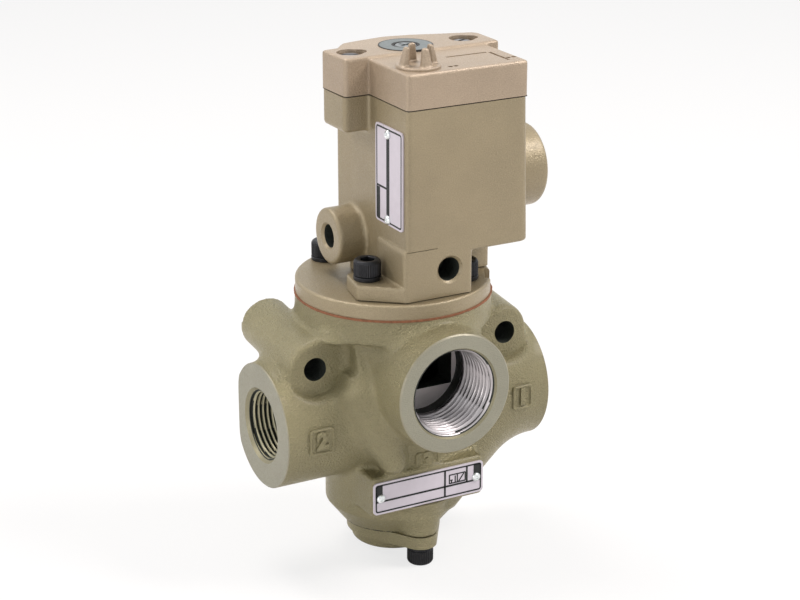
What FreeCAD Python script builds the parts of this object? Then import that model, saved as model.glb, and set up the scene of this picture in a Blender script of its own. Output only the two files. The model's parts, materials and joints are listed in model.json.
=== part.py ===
import FreeCAD, Part
import Sketcher
import math
import os
import re

# Solenoid pilot poppet valve with two side ports, one front port and a coil housing on top.
# Lengths are in millimetres. While it is drawn, Z is the stem axis pointing up, X runs along the
# two side ports and -Y looks out of the front port. Each sub-part is then placed so that the row
# origin lies midway between the two mounting holes, on the back ends of their lugs.

SIZES = [
    # cast body
    ("port_reach", 54.9), ("boss_radius", 23.4), ("side_thread_radius", 13.22),
    ("side_thread_length", 17), ("side_mouth_radius", 14.15), ("side_mouth_length", 1.2),
    ("side_passage_radius", 11), ("front_level", 18.8), ("front_reach", 47.1),
    ("front_boss_radius", 22.5), ("front_root_radius", 25.5), ("front_thread_radius", 16.62),
    ("front_thread_length", 21), ("front_mouth_radius", 17.2), ("front_mouth_length", 0.8),
    ("front_passage_radius", 12), ("front_core_width", 27), ("front_core_height", 9),
    ("neck_radius", 36.5), ("body_top", 44), ("neck_length", 9), ("shoulder_radius", 29.5),
    ("shoulder_level", 24), ("waist_level", 6), ("trunk_radius", 25.4), ("trunk_end", 38.4),
    ("foot_radius", 19.1), ("foot_end", 46.5), ("skirt_radius", 17.5), ("duct_radius", 7),
    ("duct_mouth", 38), ("duct_mouth_drop", 4), ("duct_foot", 10), ("duct_foot_drop", 30),
    ("skirt_extra", 8), ("body_wall_blend", 2.5),
    # cast rib between the left port and the front port, from its top to its rounded end
    ("rib_top_place", -30.5), ("rib_top_front", 17.5), ("rib_top_level", 28), ("rib_top_radius", 5.4),
    ("rib_end_place", -15), ("rib_end_front", 25.6), ("rib_end_level", -11.5), ("rib_end_radius", 4.6),
    # mounting lugs
    ("mount_half_spacing", 39.8), ("mount_level", 24.5), ("mount_hole_radius", 4.35),
    ("lug_front", 14.9), ("lug_back", 27.5), ("lug_radius", 9.6), ("lug_back_radius", 10),
    ("lug_rise", 4.4), ("web_thickness", 12), ("spot_radius", 9), ("spot_depth", 4.5),
    # chambers and seats
    ("piston_bore_radius", 20), ("bore_floor", 30), ("partition", 3), ("exhaust_radius", 17),
    ("exhaust_seat_level", 8), ("seat_thickness", 4), ("seat_radius", 11), ("outlet_radius", 19),
    ("inlet_seat_level", -12), ("inlet_radius", 17),
    # nameplate pad and port marks
    ("plate_width", 46.4), ("plate_height", 12.7), ("plate_level", -25.7), ("plate_pad_front", 27.5),
    ("plate_thickness", 0.6), ("plate_pad_height", 15.6), ("plate_corner", 1.5),
    ("name_rivet_inset", 3), ("rivet_radius", 1.6), ("rivet_height", 0.9),
    ("rivet_shank", 0.9), ("rivet_grip", 2),
    ("mark_width", 7.6), ("mark_height", 9.6), ("mark_place", 42), ("mark_proud", 0.6),
    ("front_mark_place", 0.6), ("front_mark_level", -15.8), ("front_mark_reach", 26.3),
    ("mark_depth", 8),
    # bottom cap
    ("ear_place", 21.5), ("ear_radius", 6.25), ("ear_flare", 3), ("ear_height", 14.1),
    ("cap_radius", 18), ("cap_thickness", 4.8), ("cap_boss_radius", 16), ("cap_boss_height", 4.2),
    ("cap_plug_length", 4.5), ("cap_groove_depth", 1.9), ("cap_groove_width", 2),
    ("cap_groove_rise", 1), ("plug_clearance", 0.1),
    # fasteners
    ("screw_radius", 3), ("screw_clearance", 0.3), ("head_radius", 5), ("head_height", 6),
    ("washer_radius", 5.1), ("washer_thickness", 1.6), ("socket_radius", 2.88), ("socket_depth", 3),
    ("grip", 9), ("grip_spare", 0.5), ("screw_wall_gap", 0.4),
    # cover disc and its gaskets
    ("gasket_thickness", 0.8), ("gasket_proud", 0.3), ("disc_radius", 36.3), ("disc_thickness", 5.4),
    ("disc_edge", 1), ("pilot_gasket_thickness", 0.4), ("gasket_inset", 0.6),
    ("tab_root", 34.2), ("tab_reach", 37.6), ("tab_width", 10), ("tab_angle", -29), ("tab_gap", 0.3),
    # main valve
    ("stroke", 4.4), ("stroke_spare", 0.1), ("piston_clearance", 0.05), ("piston_height", 6.5),
    ("piston_top", 42.2), ("seal_height", 2.6), ("seal_depth", 2.4),
    ("seal_clearance", 0.03), ("stem_drop", 0.2), ("guide_radius", 7.1), ("guide_height", 2),
    ("stem_radius", 4),
    ("stem_clearance", 0.05), ("fit_gap", 0.02), ("bush_radius", 7), ("bush_flange_radius", 9),
    ("bush_flange_height", 1.5), ("poppet_radius", 13.6), ("poppet_height", 5),
    ("poppet_seal_height", 2), ("poppet_seal_inset", 0.6), ("nut_height", 3), ("nut_radius", 6.5),
    ("nut_recess_radius", 7.5),
    ("return_wire", 0.9), ("return_coil_radius", 9), ("return_turns", 4),
    # coil housing, in plan and then in height above its foot
    ("box_left", -11.7), ("box_right", 35.95), ("box_front", -32.5), ("box_back", 24.6),
    ("box_side_back", 15.5), ("box_corner_back", 10.8), ("back_curve", 64), ("back_corner_width", 6.5),
    ("back_corner_drop", 3.2), ("box_wall", 3), ("box_edge", 1.6), ("block_right", 15.1),
    ("block_proud", 0.45), ("rear_right", 34), ("rear_front", -10.5), ("rear_back", 17.2),
    ("rear_corner", 5), ("foot_lug_left", -25.9), ("foot_lug_slant", 2.6), ("foot_lug_front", 11.5),
    ("foot_lug_back", 24.9), ("foot_lug_root", 28.5), ("foot_lug_height", 5.3), ("block_height", 18.6),
    ("box_overlap", 3.2), ("box_height", 54), ("floor_thickness", 5),
    ("side_boss_radius", 10.5), ("side_boss_end", -22.6), ("side_boss_place", 8.5),
    ("side_boss_rise", 14.9), ("pilot_hole_radius", 4.35), ("pilot_mouth_radius", 5.25),
    ("pilot_hole_depth", 12), ("front_hole_place", 5.6), ("front_hole_rise", 9.8),
    ("air_way_radius", 1.6), ("hub_place", -5), ("hub_rise", 20.5), ("hub_radius", 15.6),
    ("hub_end", 53.4), ("hub_bore_radius", 10.48), ("hub_bore_depth", 15), ("hub_way_radius", 7.5),
    ("lid_lug_drop", 13), ("left_lug_end", -21), ("left_lug_front", -4.4), ("left_lug_back", 14),
    ("right_lug_end", 42.3), ("right_lug_front", -3.5), ("right_lug_back", 15.6),
    # lid
    ("lid_gasket_thickness", 0.4), ("lid_thickness", 12.6), ("lid_step", 0.9),
    ("lid_edge", 1.4), ("lid_rim", 0.8), ("lid_side_curve", 92), ("lid_back_curve", 62),
    ("lid_back_bulge", 0.6), ("left_screw", -14.5), ("left_screw_back", 5), ("right_screw", 32),
    ("right_screw_back", 6.1), ("counterbore_radius", 4.9), ("counterbore_depth", 4.5),
    ("relief_shift", 3.4), ("relief_radius", 3), ("relief_depth", 1.8),
    ("lid_screw_radius", 2.5), ("lid_screw_head_radius", 4.4), ("lid_screw_head_height", 2.8),
    ("lid_screw_clearance", 0.3), ("slot_width", 1), ("slot_depth", 1.2),
    ("lid_screw_grip", 10), ("lid_screw_hole", 11),
    ("groove_left", 13.3), ("groove_right", 30.6), ("groove_back", -15.7), ("groove_front", -30.1),
    ("groove_width", 1), ("groove_depth", 0.5), ("dimple_left", 8.1), ("dimple_left_back", -28.2),
    ("dimple_right", 32.7), ("dimple_right_back", -26.4), ("dimple_half_gap", 1), ("dimple_radius", 0.75),
    ("crown_place", -2.1), ("crown_back", -22.7), ("crown_base_radius", 7.9),
    ("crown_base_height", 1), ("finger_height", 6.6), ("finger_root_width", 4.8),
    ("finger_tip_width", 2.9), ("finger_root", 7), ("finger_tip", 5.5), ("finger_depth", 2.4),
    # manual override
    ("axis_place", 8.5), ("axis_back", 6), ("bezel_radius", 10), ("bezel_depth", 5),
    ("bezel_proud", 0.2), ("button_radius", 4.15), ("button_proud", 0.1), ("button_height", 6),
    ("button_flange_radius", 5.2), ("button_flange_height", 0.7), ("flange_clearance", 0.45),
    ("pin_radius", 1.9), ("pin_clearance", 0.2), ("button_bore_radius", 4.2), ("ring_radius", 5.2),
    ("ring_height", 1.2), ("ring_drop", 0.1), ("override_coil_radius", 3.1), ("override_wire", 0.35),
    ("override_turns", 4), ("override_gap", 0.3), ("override_room", 15),
    # coil and armature
    ("coil_radius", 12), ("coil_height", 30), ("coil_lift", 5), ("coil_clearance", 0.1),
    ("tube_radius", 6.5), ("tube_wall", 0.6), ("tube_flange_radius", 10), ("tube_flange_height", 3),
    ("tube_roof", 1.4), ("yoke_thickness", 2), ("yoke_half_width", 7.5), ("yoke_gap", 0.4),
    ("core_gap", 2.3), ("core_way_radius", 1.6), ("armature_clearance", 0.08), ("armature_gap", 0.8),
    ("armature_height", 17), ("push_radius", 1.2), ("push_lift", 2), ("seat_height", 8),
    ("nozzle_radius", 4), ("nozzle_way_radius", 0.84), ("armature_coil_radius", 3.6),
    ("armature_wire", 0.4), ("armature_turns", 4), ("armature_recess", 10), ("recess_clearance", 0.2),
    # label plate and terminal block
    ("label_front", -30), ("label_back", -9.9), ("label_rise", 10), ("label_height", 36),
    ("label_thickness", 0.6), ("label_foot_inset", 1.9), ("label_head_inset", 2.8),
    ("label_rivet_place", -19.2), ("terminal_length", 8), ("terminal_width", 16),
    ("terminal_height", 12), ("terminal_way_radius", 1.5), ("terminal_gap", 1),
]

# Levels that follow from the sizes, as formulas
LEVELS = {
    "gasket_top": "body_top + gasket_thickness",
    "disc_top": "gasket_top + disc_thickness",
    "pilot_foot": "disc_top + pilot_gasket_thickness",
    "lug_top": "pilot_foot + foot_lug_height",
    "block_top": "pilot_foot + block_height",
    "box_floor": "block_top - box_overlap",
    "box_top": "box_floor + box_height",
    "cavity_floor": "box_floor + floor_thickness",
    "side_boss_level": "pilot_foot + side_boss_rise",
    "front_hole_level": "pilot_foot + front_hole_rise",
    "hub_level": "box_floor + hub_rise",
    "lid_foot": "box_top + lid_gasket_thickness",
    "lid_top": "lid_foot + lid_thickness",
    "lid_high": "lid_top + lid_step",
    "exhaust_seat_foot": "exhaust_seat_level - seat_thickness",
    "outlet_foot": "inlet_seat_level + seat_thickness",
    "partition_foot": "bore_floor - partition",
    "poppet_low": "inlet_seat_level - poppet_seal_height - poppet_height",
    "cap_foot": "-foot_end - cap_thickness",
    "cap_end": "cap_foot - cap_boss_height",
    "shank_foot": "body_top - grip",
    "bezel_low": "lid_high - bezel_depth",
    "button_top": "lid_high + button_proud",
    "button_low": "button_top - button_height",
    "tube_top": "button_low - override_room",
    "armature_top": "tube_top - tube_roof - armature_gap",
    "armature_low": "armature_top - armature_height",
    "core_top": "armature_low - core_gap",
    "coil_base": "cavity_floor + coil_lift",
    "label_low": "box_floor + label_rise",
    "label_high": "label_low + label_height",
    "label_rivet_low": "label_low + label_foot_inset",
    "label_rivet_high": "label_high - label_head_inset",
    "name_rivet_place": "plate_width / 2 - name_rivet_inset",
}

doc = FreeCAD.newDocument("pilot_valve")
sheet = doc.addObject("Spreadsheet::Sheet", "Sizes")
for row, (name, number) in enumerate(SIZES, start=1):
    sheet.set("A%d" % row, name)
    sheet.set("B%d" % row, str(number))
    sheet.setAlias("B%d" % row, name)
doc.recompute()

FUNCTIONS = {"sqrt", "sin", "cos", "tan", "atan", "min", "max", "abs"}
TURNS = {
    "X": FreeCAD.Rotation(FreeCAD.Vector(0, 1, 0), 90),
    "-X": FreeCAD.Rotation(FreeCAD.Vector(0, 1, 0), -90),
    "Y": FreeCAD.Rotation(FreeCAD.Vector(1, 0, 0), -90),
    "-Y": FreeCAD.Rotation(FreeCAD.Vector(1, 0, 0), 90),
    "Z": FreeCAD.Rotation(),
    "-Z": FreeCAD.Rotation(FreeCAD.Vector(1, 0, 0), 180),
}
sub_parts = []


def formula(text):
    """Point every size named in a formula at its cell in the sheet, and write out each level."""
    def written(name):
        if name in LEVELS:
            return "(%s)" % formula(LEVELS[name])
        return name if name in FUNCTIONS else "Sizes." + name
    return re.sub(r"\b[a-z][a-z_]*\b", lambda found: written(found[0]), text)


def value(text):
    """The number that a formula gives at present."""
    result = sheet.evalExpression(formula(text))
    return float(getattr(result, "Value", result))


def bind(item, settings):
    """Tie the properties of an item to formulas of the sheet."""
    for name, text in settings.items():
        item.setExpression(name, formula(text))
    return item


def place(item, x="0", y="0", z="0", turn="Z"):
    item.Placement = FreeCAD.Placement(FreeCAD.Vector(), TURNS[turn])
    return bind(item, {"Placement.Base.x": x, "Placement.Base.y": y, "Placement.Base.z": z})


# Part primitives and booleans

def rod(radius, length, x="0", y="0", z="0", turn="Z"):
    """A round bar that starts at the point and runs along the turn's direction."""
    item = doc.addObject("Part::Cylinder", "rod")
    bind(item, {"Radius": radius, "Height": length})
    return place(item, x, y, z, turn)


def taper(root, tip, length, x="0", y="0", z="0", turn="Z"):
    item = doc.addObject("Part::Cone", "taper")
    bind(item, {"Radius1": root, "Radius2": tip, "Height": length})
    return place(item, x, y, z, turn)


def block(x, y, z, length, width, height):
    item = doc.addObject("Part::Box", "block")
    bind(item, {"Length": length, "Width": width, "Height": height})
    return place(item, x, y, z)


def ball(radius, x="0", y="0", z="0"):
    item = doc.addObject("Part::Sphere", "ball")
    bind(item, {"Radius": radius})
    return place(item, x, y, z)


def hexagon(radius, height, x="0", y="0", z="0"):
    item = doc.addObject("Part::Prism", "hexagon")
    item.Polygon = 6
    bind(item, {"Circumradius": radius, "Height": height})
    return place(item, x, y, z)


def join(*items):
    item = doc.addObject("Part::MultiFuse", "join")
    item.Shapes = list(items)
    item.Refine = True
    return item


def carve(base, *tools):
    item = doc.addObject("Part::Cut", "carve")
    item.Base = base
    item.Tool = tools[0] if len(tools) == 1 else join(*tools)
    item.Refine = True
    return item


def group(*items):
    item = doc.addObject("Part::Compound", "group")
    item.Links = list(items)
    return item


def tube(outer, inner, length, x="0", y="0", z="0", turn="Z"):
    return carve(rod(outer, length, x, y, z, turn), rod(inner, length, x, y, z, turn))


def coil_spring(wire, radius, turns, low, high, x="0", y="0"):
    """A round wire wound as a helix, with its ends inside the two levels."""
    path = doc.addObject("Part::Helix", "wire_path")
    bind(path, {"Radius": radius, "Height": "(%s) - (%s) - 2 * %s" % (high, low, wire),
                "Pitch": "((%s) - (%s) - 2 * %s) / %s" % (high, low, wire, turns)})
    place(path, x, y, "(%s) + %s" % (low, wire))
    ring = doc.addObject("Part::RegularPolygon", "wire_section")
    ring.Polygon = 8
    bind(ring, {"Circumradius": wire})
    place(ring, "(%s) + %s" % (x, radius), y, "(%s) + %s" % (low, wire), "-Y")
    spring = doc.addObject("Part::Sweep", "spring")
    spring.Sections = [ring]
    doc.recompute()
    spring.Spine = (path, ["Edge%d" % (n + 1) for n in range(len(path.Shape.Edges))])
    spring.Solid = True
    spring.Frenet = True
    return spring


# Sketches and part design features

def draw(sketch, outlines):
    """Draw closed outlines. A point is (x, y), a point that an arc leads on from is (x, y, radius),
    with a negative radius for a clockwise arc, and a circle is ("circle", x, y, radius)."""
    for outline in outlines:
        if outline[0] == "circle":
            draw_circle(sketch, *outline[1:])
        else:
            draw_outline(sketch, outline)


def hold(sketch, kind, geometry, point, text):
    """Hold one coordinate of a point at a formula's value."""
    number = sketch.addConstraint(Sketcher.Constraint(kind, -1, 1, geometry, point, value(text)))
    if re.search("[a-z]", text):
        bind(sketch, {"Constraints[%d]" % number: text})


def draw_circle(sketch, x, y, radius):
    centre = FreeCAD.Vector(value(x), value(y), 0)
    ring = sketch.addGeometry(Part.Circle(centre, FreeCAD.Vector(0, 0, 1), value(radius)), False)
    hold(sketch, "DistanceX", ring, 3, x)
    hold(sketch, "DistanceY", ring, 3, y)
    number = sketch.addConstraint(Sketcher.Constraint("Radius", ring, value(radius)))
    bind(sketch, {"Constraints[%d]" % number: radius})


def arc_between(start, end, radius):
    """The shorter arc from start to end, turning left for a positive radius."""
    chord = end - start
    half = chord.Length / 2
    rise = math.sqrt(radius * radius - half * half)
    left = FreeCAD.Vector(-chord.y, chord.x, 0).normalize()
    side = 1 if radius > 0 else -1
    centre = (start + end) * 0.5 + left * (side * rise)
    first, last = (start, end) if radius > 0 else (end, start)
    from_angle = math.atan2(first.y - centre.y, first.x - centre.x)
    to_angle = math.atan2(last.y - centre.y, last.x - centre.x)
    return Part.ArcOfCircle(Part.Circle(centre, FreeCAD.Vector(0, 0, 1), abs(radius)), from_angle, to_angle)


def draw_outline(sketch, points):
    spots = [FreeCAD.Vector(value(p[0]), value(p[1]), 0) for p in points]
    starts, ends, lines = [], [], []
    for n, point in enumerate(points):
        start, end = spots[n], spots[(n + 1) % len(spots)]
        if len(point) == 3:
            radius = value(point[2])
            line = sketch.addGeometry(arc_between(start, end, radius), False)
            starts.append(1 if radius > 0 else 2)
            ends.append(2 if radius > 0 else 1)
        else:
            line = sketch.addGeometry(Part.LineSegment(start, end), False)
            starts.append(1)
            ends.append(2)
        lines.append(line)
    for n, point in enumerate(points):
        after = (n + 1) % len(points)
        sketch.addConstraint(Sketcher.Constraint("Coincident", lines[n], ends[n], lines[after], starts[after]))
    for n, point in enumerate(points):
        hold(sketch, "DistanceX", lines[n], starts[n], point[0])
        hold(sketch, "DistanceY", lines[n], starts[n], point[1])
        if len(point) == 3:
            size = "abs(%s)" % point[2]
            number = sketch.addConstraint(Sketcher.Constraint("Radius", lines[n], value(size)))
            bind(sketch, {"Constraints[%d]" % number: size})


def new_body(label):
    return doc.addObject("PartDesign::Body", label)


def sketch_on(body, plane, outlines, level="0", middle=("0", "0")):
    """A sketch on a body's own plane: XY, XZ (facing -Y) or YZ (facing +X), moved along its normal,
    with its own origin moved to the middle."""
    support = [f for f in body.Origin.OriginFeatures if f.Role == plane + "_Plane"][0]
    sketch = body.newObject("Sketcher::SketchObject", "outline")
    sketch.AttachmentSupport = [(support, "")]
    sketch.MapMode = "FlatFace"
    for axis, shift in zip("xyz", middle + (level,)):
        if shift != "0":
            bind(sketch, {"AttachmentOffset.Base." + axis: shift})
    draw(sketch, outlines)
    doc.recompute()
    return sketch


def pad(body, plane, outlines, length, level="0", reverse=False, draft="0"):
    feature = body.newObject("PartDesign::Pad", "pad")
    feature.Profile = sketch_on(body, plane, outlines, level)
    feature.Reversed = reverse
    bind(feature, {"Length": length})
    if draft != "0":
        bind(feature, {"TaperAngle": draft})
    doc.recompute()
    return feature


def pocket(body, plane, outlines, length, level="0", reverse=False):
    """Cut from the level against the plane's normal, or along it when reversed."""
    before = body.Shape.Volume
    feature = body.newObject("PartDesign::Pocket", "pocket")
    feature.Profile = sketch_on(body, plane, outlines, level)
    feature.Reversed = reverse
    bind(feature, {"Length": length})
    doc.recompute()
    if near(body.Shape.Volume, before):
        raise ValueError("a pocket of %s cuts nothing" % body.Name)
    return feature


def spin(body, outlines, cut=False, axis="V_Axis"):
    """Turn an outline in the XZ plane about the sketch's upright axis."""
    feature = body.newObject("PartDesign::Groove" if cut else "PartDesign::Revolution", "turned")
    feature.Profile = sketch_on(body, "XZ", outlines)
    feature.ReferenceAxis = (feature.Profile[0], [axis])
    feature.Angle = 360
    doc.recompute()
    return feature


def blend(body, radius, test, kind="Fillet"):
    """Round (or bevel) the edges of the body's last feature that a test picks."""
    base = body.Tip
    names = ["Edge%d" % (n + 1) for n, edge in enumerate(base.Shape.Edges) if test(edge)]
    feature = body.newObject("PartDesign::" + kind, "blend")
    feature.Base = (base, names)
    bind(feature, {"Radius" if kind == "Fillet" else "Size": radius})
    doc.recompute()
    return feature


def near(first, second, slack=0.02):
    return abs(first - second) < slack


def upright(edge):
    """True for a straight edge that runs along Z."""
    box = edge.BoundBox
    return near(box.XLength, 0) and near(box.YLength, 0) and not near(box.ZLength, 0)


def level_at(edge, height):
    """True for an edge that lies all in one level plane at the height."""
    box = edge.BoundBox
    return near(box.ZMin, height) and near(box.ZMax, height)


def at_spot(edge, x, y, slack=0.1):
    """True for an edge whose middle lies over the plan point."""
    middle = edge.BoundBox.Center
    return near(middle.x, x, slack) and near(middle.y, y, slack)


def keep(item, label):
    """Name a finished sub-part and place it in the row's frame."""
    item.Label = label
    place(item, "0", "-lug_back", "-mount_level")
    sub_parts.append(item)
    return item


# Cover screws: plan place, and the level that each washer rests on
COVER_SCREWS = [
    ("-18.8", "-15.6", "lug_top"),
    ("-14.9", "26.8", "disc_top"),
    ("block_right + head_radius + screw_wall_gap", "-17.4", "disc_top"),
    ("22", "23.5", "disc_top"),
]


def make_valve_body():
    """The sand-cast body: a turned trunk, three port bosses, two mounting lugs and a slanted duct."""
    trunk = new_body("trunk_blank")
    spin(trunk, [[
        ("0", "-foot_end"), ("foot_radius", "-foot_end"), ("trunk_radius", "-trunk_end"),
        ("trunk_radius", "-waist_level"), ("shoulder_radius", "waist_level"),
        ("shoulder_radius", "shoulder_level"), ("neck_radius", "body_top - neck_length"),
        ("neck_radius", "body_top"), ("0", "body_top"),
    ]])
    blend(trunk, "body_wall_blend", lambda e: e.Closed and any(
        level_at(e, value(z)) for z in
        ("-trunk_end", "-waist_level", "waist_level", "shoulder_level", "body_top - neck_length")))
    solids = [trunk]
    solids.append(rod("boss_radius", "2 * port_reach", "-port_reach", turn="X"))
    solids.append(taper("front_root_radius", "front_boss_radius", "front_reach", z="front_level", turn="-Y"))
    for side, corner in (("-", "-mount_half_spacing"), ("", "mount_half_spacing / 2")):
        solids.append(make_lug(side))
        solids.append(block(corner, "-lug_front", "0", "mount_half_spacing / 2",
                            "lug_front + web_thickness", "mount_level + lug_radius / 2"))
    solids.append(make_skirt("skirt_radius", "skirt_extra"))
    solids.extend(make_rib())
    solids.append(block("-plate_width / 2", "-plate_pad_front", "plate_level - plate_pad_height / 2",
                        "plate_width", "plate_pad_front", "plate_pad_height"))
    for side in ("-", ""):
        solids.append(taper("ear_radius", "ear_radius + ear_flare", "ear_height",
                            y=side + "ear_place", z="-foot_end"))
    solids.append(make_tab("0", "body_top - neck_length", "disc_top"))
    # raised pads for the numbers of the ports
    for across, reach, level in (("-mark_place", "boss_radius + mark_proud", "0"),
                                 ("mark_place", "boss_radius + mark_proud", "0"),
                                 ("front_mark_place", "front_mark_reach", "front_mark_level")):
        solids.append(block(across + " - mark_width / 2", "-(%s)" % reach, level + " - mark_height / 2",
                            "mark_width", "mark_depth", "mark_height"))
    casting = join(*solids)

    cuts = new_body("chambers")
    spin(cuts, [[
        ("0", "-foot_end - 1"), ("inlet_radius", "-foot_end - 1"), ("inlet_radius", "inlet_seat_level"),
        ("seat_radius", "inlet_seat_level"), ("seat_radius", "outlet_foot"),
        ("outlet_radius", "outlet_foot"), ("outlet_radius", "exhaust_seat_foot"),
        ("seat_radius", "exhaust_seat_foot"), ("seat_radius", "exhaust_seat_level"),
        ("exhaust_radius", "exhaust_seat_level"), ("exhaust_radius", "partition_foot"),
        ("bush_radius", "partition_foot"), ("bush_radius", "bore_floor"),
        ("piston_bore_radius", "bore_floor"), ("piston_bore_radius", "body_top + 1"), ("0", "body_top + 1"),
    ]])
    tools = [cuts]
    for turn, side in (("-X", ""), ("X", "-")):
        tools.append(rod("side_thread_radius", "side_thread_length", side + "port_reach", turn=turn))
        tools.append(taper("side_mouth_radius", "side_thread_radius", "side_mouth_length",
                           side + "port_reach", turn=turn))
    tools.append(rod("side_passage_radius", "port_reach - side_thread_length", turn="-X"))
    tools.append(rod("side_passage_radius",
                     "port_reach - side_thread_length - duct_mouth + side_passage_radius",
                     "port_reach - side_thread_length", turn="-X"))
    tools.append(make_skirt("duct_radius", "0"))
    front = ("0", "-front_reach", "front_level", "Y")
    tools.append(rod("front_thread_radius", "front_thread_length", *front))
    tools.append(taper("front_mouth_radius", "front_thread_radius", "front_mouth_length", *front))
    tools.append(rod("front_passage_radius", "front_reach", *front))
    tools.append(block("-front_core_width / 2", "-front_reach + front_thread_length",
                       "bore_floor - partition - front_core_height", "front_core_width",
                       "front_reach - front_thread_length", "front_core_height"))
    for side in ("-", ""):
        tools.append(rod("spot_radius", "spot_depth", side + "mount_half_spacing",
                         "-lug_front - spot_depth", "mount_level", "Y"))
        tools.append(rod("mount_hole_radius", "lug_front + lug_back + 2", side + "mount_half_spacing",
                         "-lug_front - 1", "mount_level", "Y"))
        tools.append(rod("screw_radius", "grip", y=side + "ear_place", z="-foot_end"))
        tools.append(rod("rivet_shank + fit_gap", "rivet_grip", side + "(name_rivet_place)",
                         "-plate_pad_front", "plate_level", "Y"))
    for x, y, seat in COVER_SCREWS:
        tools.append(rod("screw_radius", "grip + 1", x, y, "shank_foot"))
    keep(carve(casting, *tools), "valve_body")


def make_lug(side):
    """A bar round a mounting hole, that rises towards its back end."""
    lug = doc.addObject("Part::Loft", "lug")
    ends = []
    for along, level, radius in (("-lug_front", "mount_level", "lug_radius"),
                                 ("lug_back", "mount_level + lug_rise", "lug_back_radius")):
        ring = doc.addObject("Part::Circle", "lug_end")
        bind(ring, {"Radius": radius})
        place(ring, side + "mount_half_spacing", along, level, "-Y")
        ends.append(ring)
    lug.Sections = ends
    lug.Solid = True
    return lug


def make_rib():
    """The slanted rib on the left of the front port, with a round lower end."""
    end = ("rib_end_place", "-rib_end_front", "rib_end_level")
    steps = ("rib_top_place - rib_end_place", "rib_end_front - rib_top_front", "rib_top_level - rib_end_level")
    run = "sqrt((%s)^2 + (%s)^2 + (%s)^2)" % steps
    bar = taper("rib_end_radius", "rib_top_radius", run, *end)
    aim = FreeCAD.Vector(*[value(step) for step in steps])
    bar.Placement.Rotation = FreeCAD.Rotation(FreeCAD.Vector(0, 0, 1), aim)
    return [bar, ball("rib_end_radius", *end)]


def make_tab(gap, low, high):
    """The locating tab on the neck, or the notch that clears it."""
    angle = math.radians(value("tab_angle"))
    item = block("0", "0", low, "tab_reach - tab_root + 2 * (%s)" % gap, "tab_width + 2 * (%s)" % gap,
                 "(%s) - (%s)" % (high, low))
    item.Placement.Rotation = FreeCAD.Rotation(FreeCAD.Vector(0, 0, 1), value("tab_angle"))
    cos, sin = math.cos(angle), math.sin(angle)
    root = "(tab_root - %s)" % gap
    half = "(tab_width / 2 + %s)" % gap
    return bind(item, {
        "Placement.Base.x": "%s * (%.9f) + %s * (%.9f)" % (root, cos, half, sin),
        "Placement.Base.y": "%s * (%.9f) - %s * (%.9f)" % (root, sin, half, cos),
    })


def make_skirt(radius, extra):
    """A slanted round bar from the right port's bore down to the inlet chamber."""
    item = doc.addObject("Part::Cylinder", "duct")
    run = "sqrt((duct_mouth - duct_foot)^2 + (duct_foot_drop - duct_mouth_drop)^2)"
    bind(item, {"Radius": radius, "Height": "%s + %s" % (run, extra)})
    aim = FreeCAD.Vector(value("duct_mouth - duct_foot"), 0, value("duct_foot_drop - duct_mouth_drop"))
    item.Placement.Rotation = FreeCAD.Rotation(FreeCAD.Vector(0, 0, 1), aim)
    share = "%s / (%s)" % (extra, run)
    return bind(item, {
        "Placement.Base.x": "duct_foot - (duct_mouth - duct_foot) * %s / 2" % share,
        "Placement.Base.z": "-duct_foot_drop - (duct_foot_drop - duct_mouth_drop) * %s / 2" % share,
    })


def make_bottom_cap():
    cap = new_body("cap_blank")
    touch = "cap_radius - ear_radius"
    side_x = "cap_radius * sqrt(1 - ((%s) / ear_place)^2)" % touch
    side_y = "cap_radius * (%s) / ear_place" % touch
    ear_x = "ear_radius * sqrt(1 - ((%s) / ear_place)^2)" % touch
    ear_y = "ear_place + ear_radius * (%s) / ear_place" % touch
    pad(cap, "XY", [[
        (side_x, "-(%s)" % side_y, "cap_radius"), (side_x, side_y), (ear_x, ear_y, "ear_radius"),
        ("-(%s)" % ear_x, ear_y), ("-(%s)" % side_x, side_y, "cap_radius"),
        ("-(%s)" % side_x, "-(%s)" % side_y), ("-(%s)" % ear_x, "-(%s)" % ear_y, "ear_radius"),
        (ear_x, "-(%s)" % ear_y),
    ]], "cap_thickness", "cap_foot")
    rim, root = "inlet_radius - plug_clearance", "inlet_radius - cap_groove_depth"
    groove_low = "-foot_end + cap_groove_rise"
    groove_high = groove_low + " + cap_groove_width"
    spin(cap, [[
        ("0", "cap_end"), ("cap_boss_radius", "cap_end"), ("cap_boss_radius", "-foot_end"),
        (rim, "-foot_end"), (rim, groove_low), (root, groove_low), (root, groove_high),
        (rim, groove_high), (rim, "-foot_end + cap_plug_length"), ("0", "-foot_end + cap_plug_length"),
    ]])
    blend(cap, "disc_edge", lambda e: level_at(e, value("cap_end")))
    ears = [("circle", "0", side + "ear_place", "screw_radius + screw_clearance") for side in ("-", "")]
    pocket(cap, "XY", ears, "cap_thickness", "-foot_end")
    keep(cap, "bottom_cap")
    keep(tube("inlet_radius - fit_gap", root + " + fit_gap", "cap_groove_width - 2 * fit_gap",
              z=groove_low + " + fit_gap"), "bottom_cap_seal")


def socket_screw(x, y, seat, length, turn="Z"):
    """A socket head screw whose head rises from the seat, or hangs from it when turned over."""
    hangs = turn == "-Z"
    plus = " - " if hangs else " + "
    head_foot = seat + plus + "washer_thickness"
    head_end = head_foot + plus + "head_height"
    head = rod("head_radius", "head_height", x, y, head_foot, turn)
    shank = rod("screw_radius - fit_gap", "(%s) + washer_thickness" % length, x, y, head_foot,
                "Z" if hangs else "-Z")
    hollow_foot = head_end if hangs else head_end + " - socket_depth"
    hollow = hexagon("socket_radius", "socket_depth", x, y, hollow_foot)
    return carve(join(head, shank), hollow)


def washer(x, y, seat, turn="Z"):
    return tube("washer_radius", "screw_radius + screw_clearance", "washer_thickness", x, y, seat, turn)


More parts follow.
